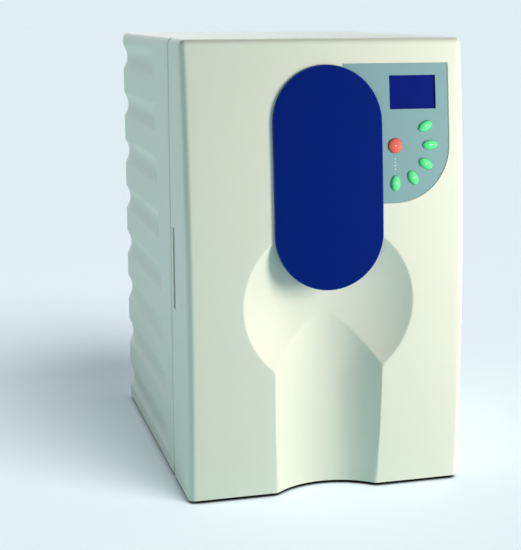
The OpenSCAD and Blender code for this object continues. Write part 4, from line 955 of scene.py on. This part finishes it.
def square_route(corners, r, straight_count, bend_count):
    """A route in plan through square corners: straight runs joined by quarter rounds of radius r."""
    corners = np.asarray(corners, float)
    legs = np.diff(corners, axis=0)
    ways = legs / np.linalg.norm(legs, axis=1)[:, None]
    parts = []
    here = corners[0]
    for corner, way, onward in zip(corners[1:-1], ways[:-1], ways[1:]):
        parts.append(here + (corner - way * r - here) * np.linspace(0, 1, straight_count)[:-1, None])
        bend = np.linspace(0, np.pi / 2, bend_count)[:, None]
        parts.append(corner - way * r + r * (np.sin(bend) * way + (1 - np.cos(bend)) * onward))
        here = parts[-1][-1]
        parts[-1] = parts[-1][:-1]
    parts.append(here + (corners[-1] - here) * np.linspace(0, 1, straight_count)[:, None])
    return np.vstack(parts)


def heading(route):
    """The direction at each point of a route: its slope, made one long."""
    slope = np.gradient(route, axis=0)
    return slope / np.linalg.norm(slope, axis=1)[:, None]


def bend_with_door(piece, material, node):
    """Gives a piece that crosses the hinge its finish, hides the node it stands for and bakes its place into its
    mesh."""
    piece.data.materials.append(material)
    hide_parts(node)
    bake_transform(piece)


half_t = ribbon_t / 2
keypad_y, hinge_side_x, chassis_y = ribbon_low.y + half_t, ribbon_high.x - half_t, ribbon_high.y - half_t
route = square_route([(ribbon_low.x, keypad_y), (hinge_side_x, keypad_y), (hinge_side_x, chassis_y),
                      (ribbon_low.x + end_inset, chassis_y)], ribbon_bend, 40, 9)
ahead = heading(route)
aside = np.stack([-ahead[:, 1], ahead[:, 0]], -1)
share = np.linspace(0, 1, ribbon_cores * 4 + 1)
swell = half_t * (between_cores + (1 - between_cores) * np.abs(np.sin(share * ribbon_cores * np.pi)))
across = np.concatenate([share, share[::-1]])
thick = np.concatenate([swell, -swell[::-1]])
plan = route[:, None, :] + aside[:, None, :] * thick[None, :, None]
height = ribbon_low.z + (ribbon_high.z - ribbon_low.z) * across
strip = np.concatenate([plan, np.broadcast_to(height[None, :, None], plan.shape[:2] + (1,))], -1)
ribbon = capped_rings("control_ribbon_cable", strip, angle=60.0)
bend_with_door(ribbon, ribbon_grey, "control_ribbon")

# Hose: a soft milky tube from the polishing filter past the hinge to the dispense valve in the door.
# It is pushed over a ribbed nipple at both ends.
hose_r = 0.004
hose_points = np.array([(131, -58.9, 452), (131, -75.4, 452), (133, -90.9, 448), (142, -117.9, 418),
                        (143, -146.1, 378), (124, -161, 329), (63, -157, 295), (26.5, -157, 293),
                        (-13, -157, 293)]) * 0.001
off_route = np.array([0.35, 0.45, 0.82])


def smooth_route(points, steps):
    """A Catmull-Rom curve: between two points a cubic whose slopes come from the neighbours of each."""
    a, b, c, d = points[:-3], points[1:-2], points[2:-1], points[3:]
    t = np.linspace(0, 1, steps, endpoint=False)[None, :, None]
    a, b, c, d = (p[:, None, :] for p in (a, b, c, d))
    curve = 0.5 * (2 * b + (c - a) * t + (2 * a - 5 * b + 4 * c - d) * t ** 2
                   + (3 * b - a - 3 * c + d) * t ** 3)
    return np.vstack([curve.reshape(-1, 3), points[-2]])


def tube_along(name, route, r, sides=24):
    """A round tube along a route: at each point a ring in the plane across the route's direction, turned
    by a direction that the route never takes."""
    ahead = heading(route)
    u = np.cross(ahead, off_route)
    u /= np.linalg.norm(u, axis=1)[:, None]
    v = np.cross(ahead, u)
    ring = ring_points(r, r, sides)
    rings = route[:, None, :] + ring[None, :, :1] * u[:, None, :] + ring[None, :, 1:] * v[:, None, :]
    return capped_rings(name, rings, angle=50.0)


hose = tube_along("dispense_hose_tube", smooth_route(hose_points, 16), hose_r)
bend_with_door(hose, tube_plastic, "dispense_hose")

# Studio: a pale blue floor without an end under a high soft light, a tall soft box at the front right,
# a low fill on the left and a lamp behind, which light the unit alone, and a pale world.
# A long lens looks from the front left, a little from above.
backdrop = (0.745, 0.847, 0.896, 1)
floor_bounce = (0.47, 0.70, 0.71, 1)
floor_w = 80.0
high_sun = 3.0
high_tint = (1.0, 0.985, 0.95)
sky_tint = (0.70, 1.0, 1.02)
sky_front, sky_back = 0.18, 0.42
sky_low, sky_high = 0.05, 0.75
sky_turn = 0.5
overhead = 0.35
contact = 0.015
contact_span = (0.22, 0.65)
sun_from = np.array([0.42, -0.72, 1.0])
own_glow = 0.30
floor_mesh = bpy.data.meshes.new("studio_floor")
floor_mesh.from_pydata([(x, y, 0) for x, y in rectangle(floor_w, floor_w)], [], [(0, 1, 2, 3)])
floor = add_object("studio_floor", floor_mesh)


def seen_directly(tree):
    """Light Path as one value: 1 for camera, glossy and transmission rays, 0 for the rest."""
    ray = add_node(tree, "LightPath").outputs
    pair = calc(tree, "MAXIMUM", ray["Is Camera Ray"], ray["Is Glossy Ray"])
    return calc(tree, "MAXIMUM", pair, ray["Is Transmission Ray"])


height = np.linspace(0, 1, 1001)
sky_share = float(np.mean(2 * height * np.interp(height, (sky_low, sky_high), (1, overhead))))
open_light = (high_sun * sun_from[2] / np.linalg.norm(sun_from) / math.pi * np.array(high_tint)
              + sky_share * (sky_front + sky_back) / 2 * np.array(sky_tint))
floor_seen = tuple((1 - own_glow) * np.array(backdrop[:3]) / open_light) + (1,)
floor_paint = bpy.data.materials.new("studio_floor")
floor_paint.use_nodes = True
ground = floor_paint.node_tree
seen_share = seen_directly(ground)
openness = add_node(ground, "AmbientOcclusion", {"Distance": contact}, samples=8).outputs["AO"]
contact_shade = map_range(ground, openness, *contact_span)
glow = calc(ground, "MULTIPLY", calc(ground, "MULTIPLY", seen_share, own_glow), contact_shade)
floor_colour = mixed(ground, seen_share, floor_bounce, floor_seen)
plug(ground, ground.nodes["Principled BSDF"],
     {"Base Color": scaled(ground, floor_colour, contact_shade), "Roughness": 1.0,
      "Specular IOR Level": 0.0, "Emission Color": backdrop, "Emission Strength": glow})
floor_mesh.materials.append(floor_paint)

world = bpy.data.worlds.new("studio")
bpy.context.scene.world = world
world.use_nodes = True
air = world.node_tree
way = add_node(air, "SeparateXYZ", {0: add_node(air, "TexCoord").outputs["Generated"]}).outputs
sky_level = calc(air, "MULTIPLY", map_range(air, way["Y"], -sky_turn, sky_turn, sky_front, sky_back),
                 map_range(air, way["Z"], sky_low, sky_high, 1.0, overhead))
sky = plug(air, air.nodes["Background"], {"Color": sky_tint + (1,), "Strength": sky_level})
seen = add_node(air, "Background", {"Color": backdrop})
choice = add_node(air, "MixShader", {0: seen_directly(air), 1: sky.outputs[0], 2: seen.outputs[0]})
plug(air, air.nodes["World Output"], {"Surface": choice.outputs[0]})


def lamp(name, kind, energy, colour, place, target, state, **settings):
    """A lamp at a place, its -Z turned to the target and its own Y upwards. It lights only the floor
    (INCLUDE), or all but the floor (EXCLUDE)."""
    light = bpy.data.lights.new(name, kind)
    light.energy = energy
    light.color = colour
    for setting, value in settings.items():
        setattr(light, setting, value)
    spot = add_object(name, light)
    away = np.asarray(place, float) - np.asarray(target, float)
    spot.location = place
    spot.rotation_euler = (math.atan2(math.hypot(away[0], away[1]), away[2]), 0,
                           math.atan2(away[0], -away[1]))
    spot.visible_camera = False
    share = bpy.data.collections.new(name + "_floor")
    share.objects.link(floor)
    spot.light_linking.receiver_collection = share
    share.collection_objects[0].light_linking.link_state = state


lamp("floor_light", "SUN", energy=high_sun, colour=high_tint, place=sun_from * 3, target=(0, 0, 0),
     state="INCLUDE", angle=math.radians(38))
lamp("soft_box", "AREA", energy=13.6, colour=(1.0, 0.92, 0.78), place=(0.95, -0.88, 0.46),
     target=(0.0, -0.20, 0.36), state="EXCLUDE", shape="RECTANGLE", size=0.34, size_y=0.70)
lamp("low_fill", "AREA", energy=0.55, colour=(0.86, 1.0, 1.0), place=(-0.90, 0.0, 0.06),
     target=(-0.17, 0.0, 0.28), state="EXCLUDE", shape="RECTANGLE", size=0.9, size_y=0.1)
lamp("top_light", "SUN", energy=1.7, colour=(1.0, 0.97, 0.985), place=(0.1, 2.4, 2.2), target=(0, 0, 0),
     state="EXCLUDE", angle=math.radians(25))

lens = bpy.data.cameras.new("camera")
lens.lens = 82.295
lens.sensor_width = 36.0
lens.shift_x = -0.02
lens.shift_y = -0.03
look_down, look_right = math.radians(11.165), math.radians(15.21)
camera = add_object("camera", lens)
camera.location = (-0.4379, -1.5712, 0.5647)
camera.rotation_euler = (math.pi / 2 - look_down, 0, -look_right)
bpy.context.scene.camera = camera
bpy.context.scene.view_settings.view_transform = "Standard"
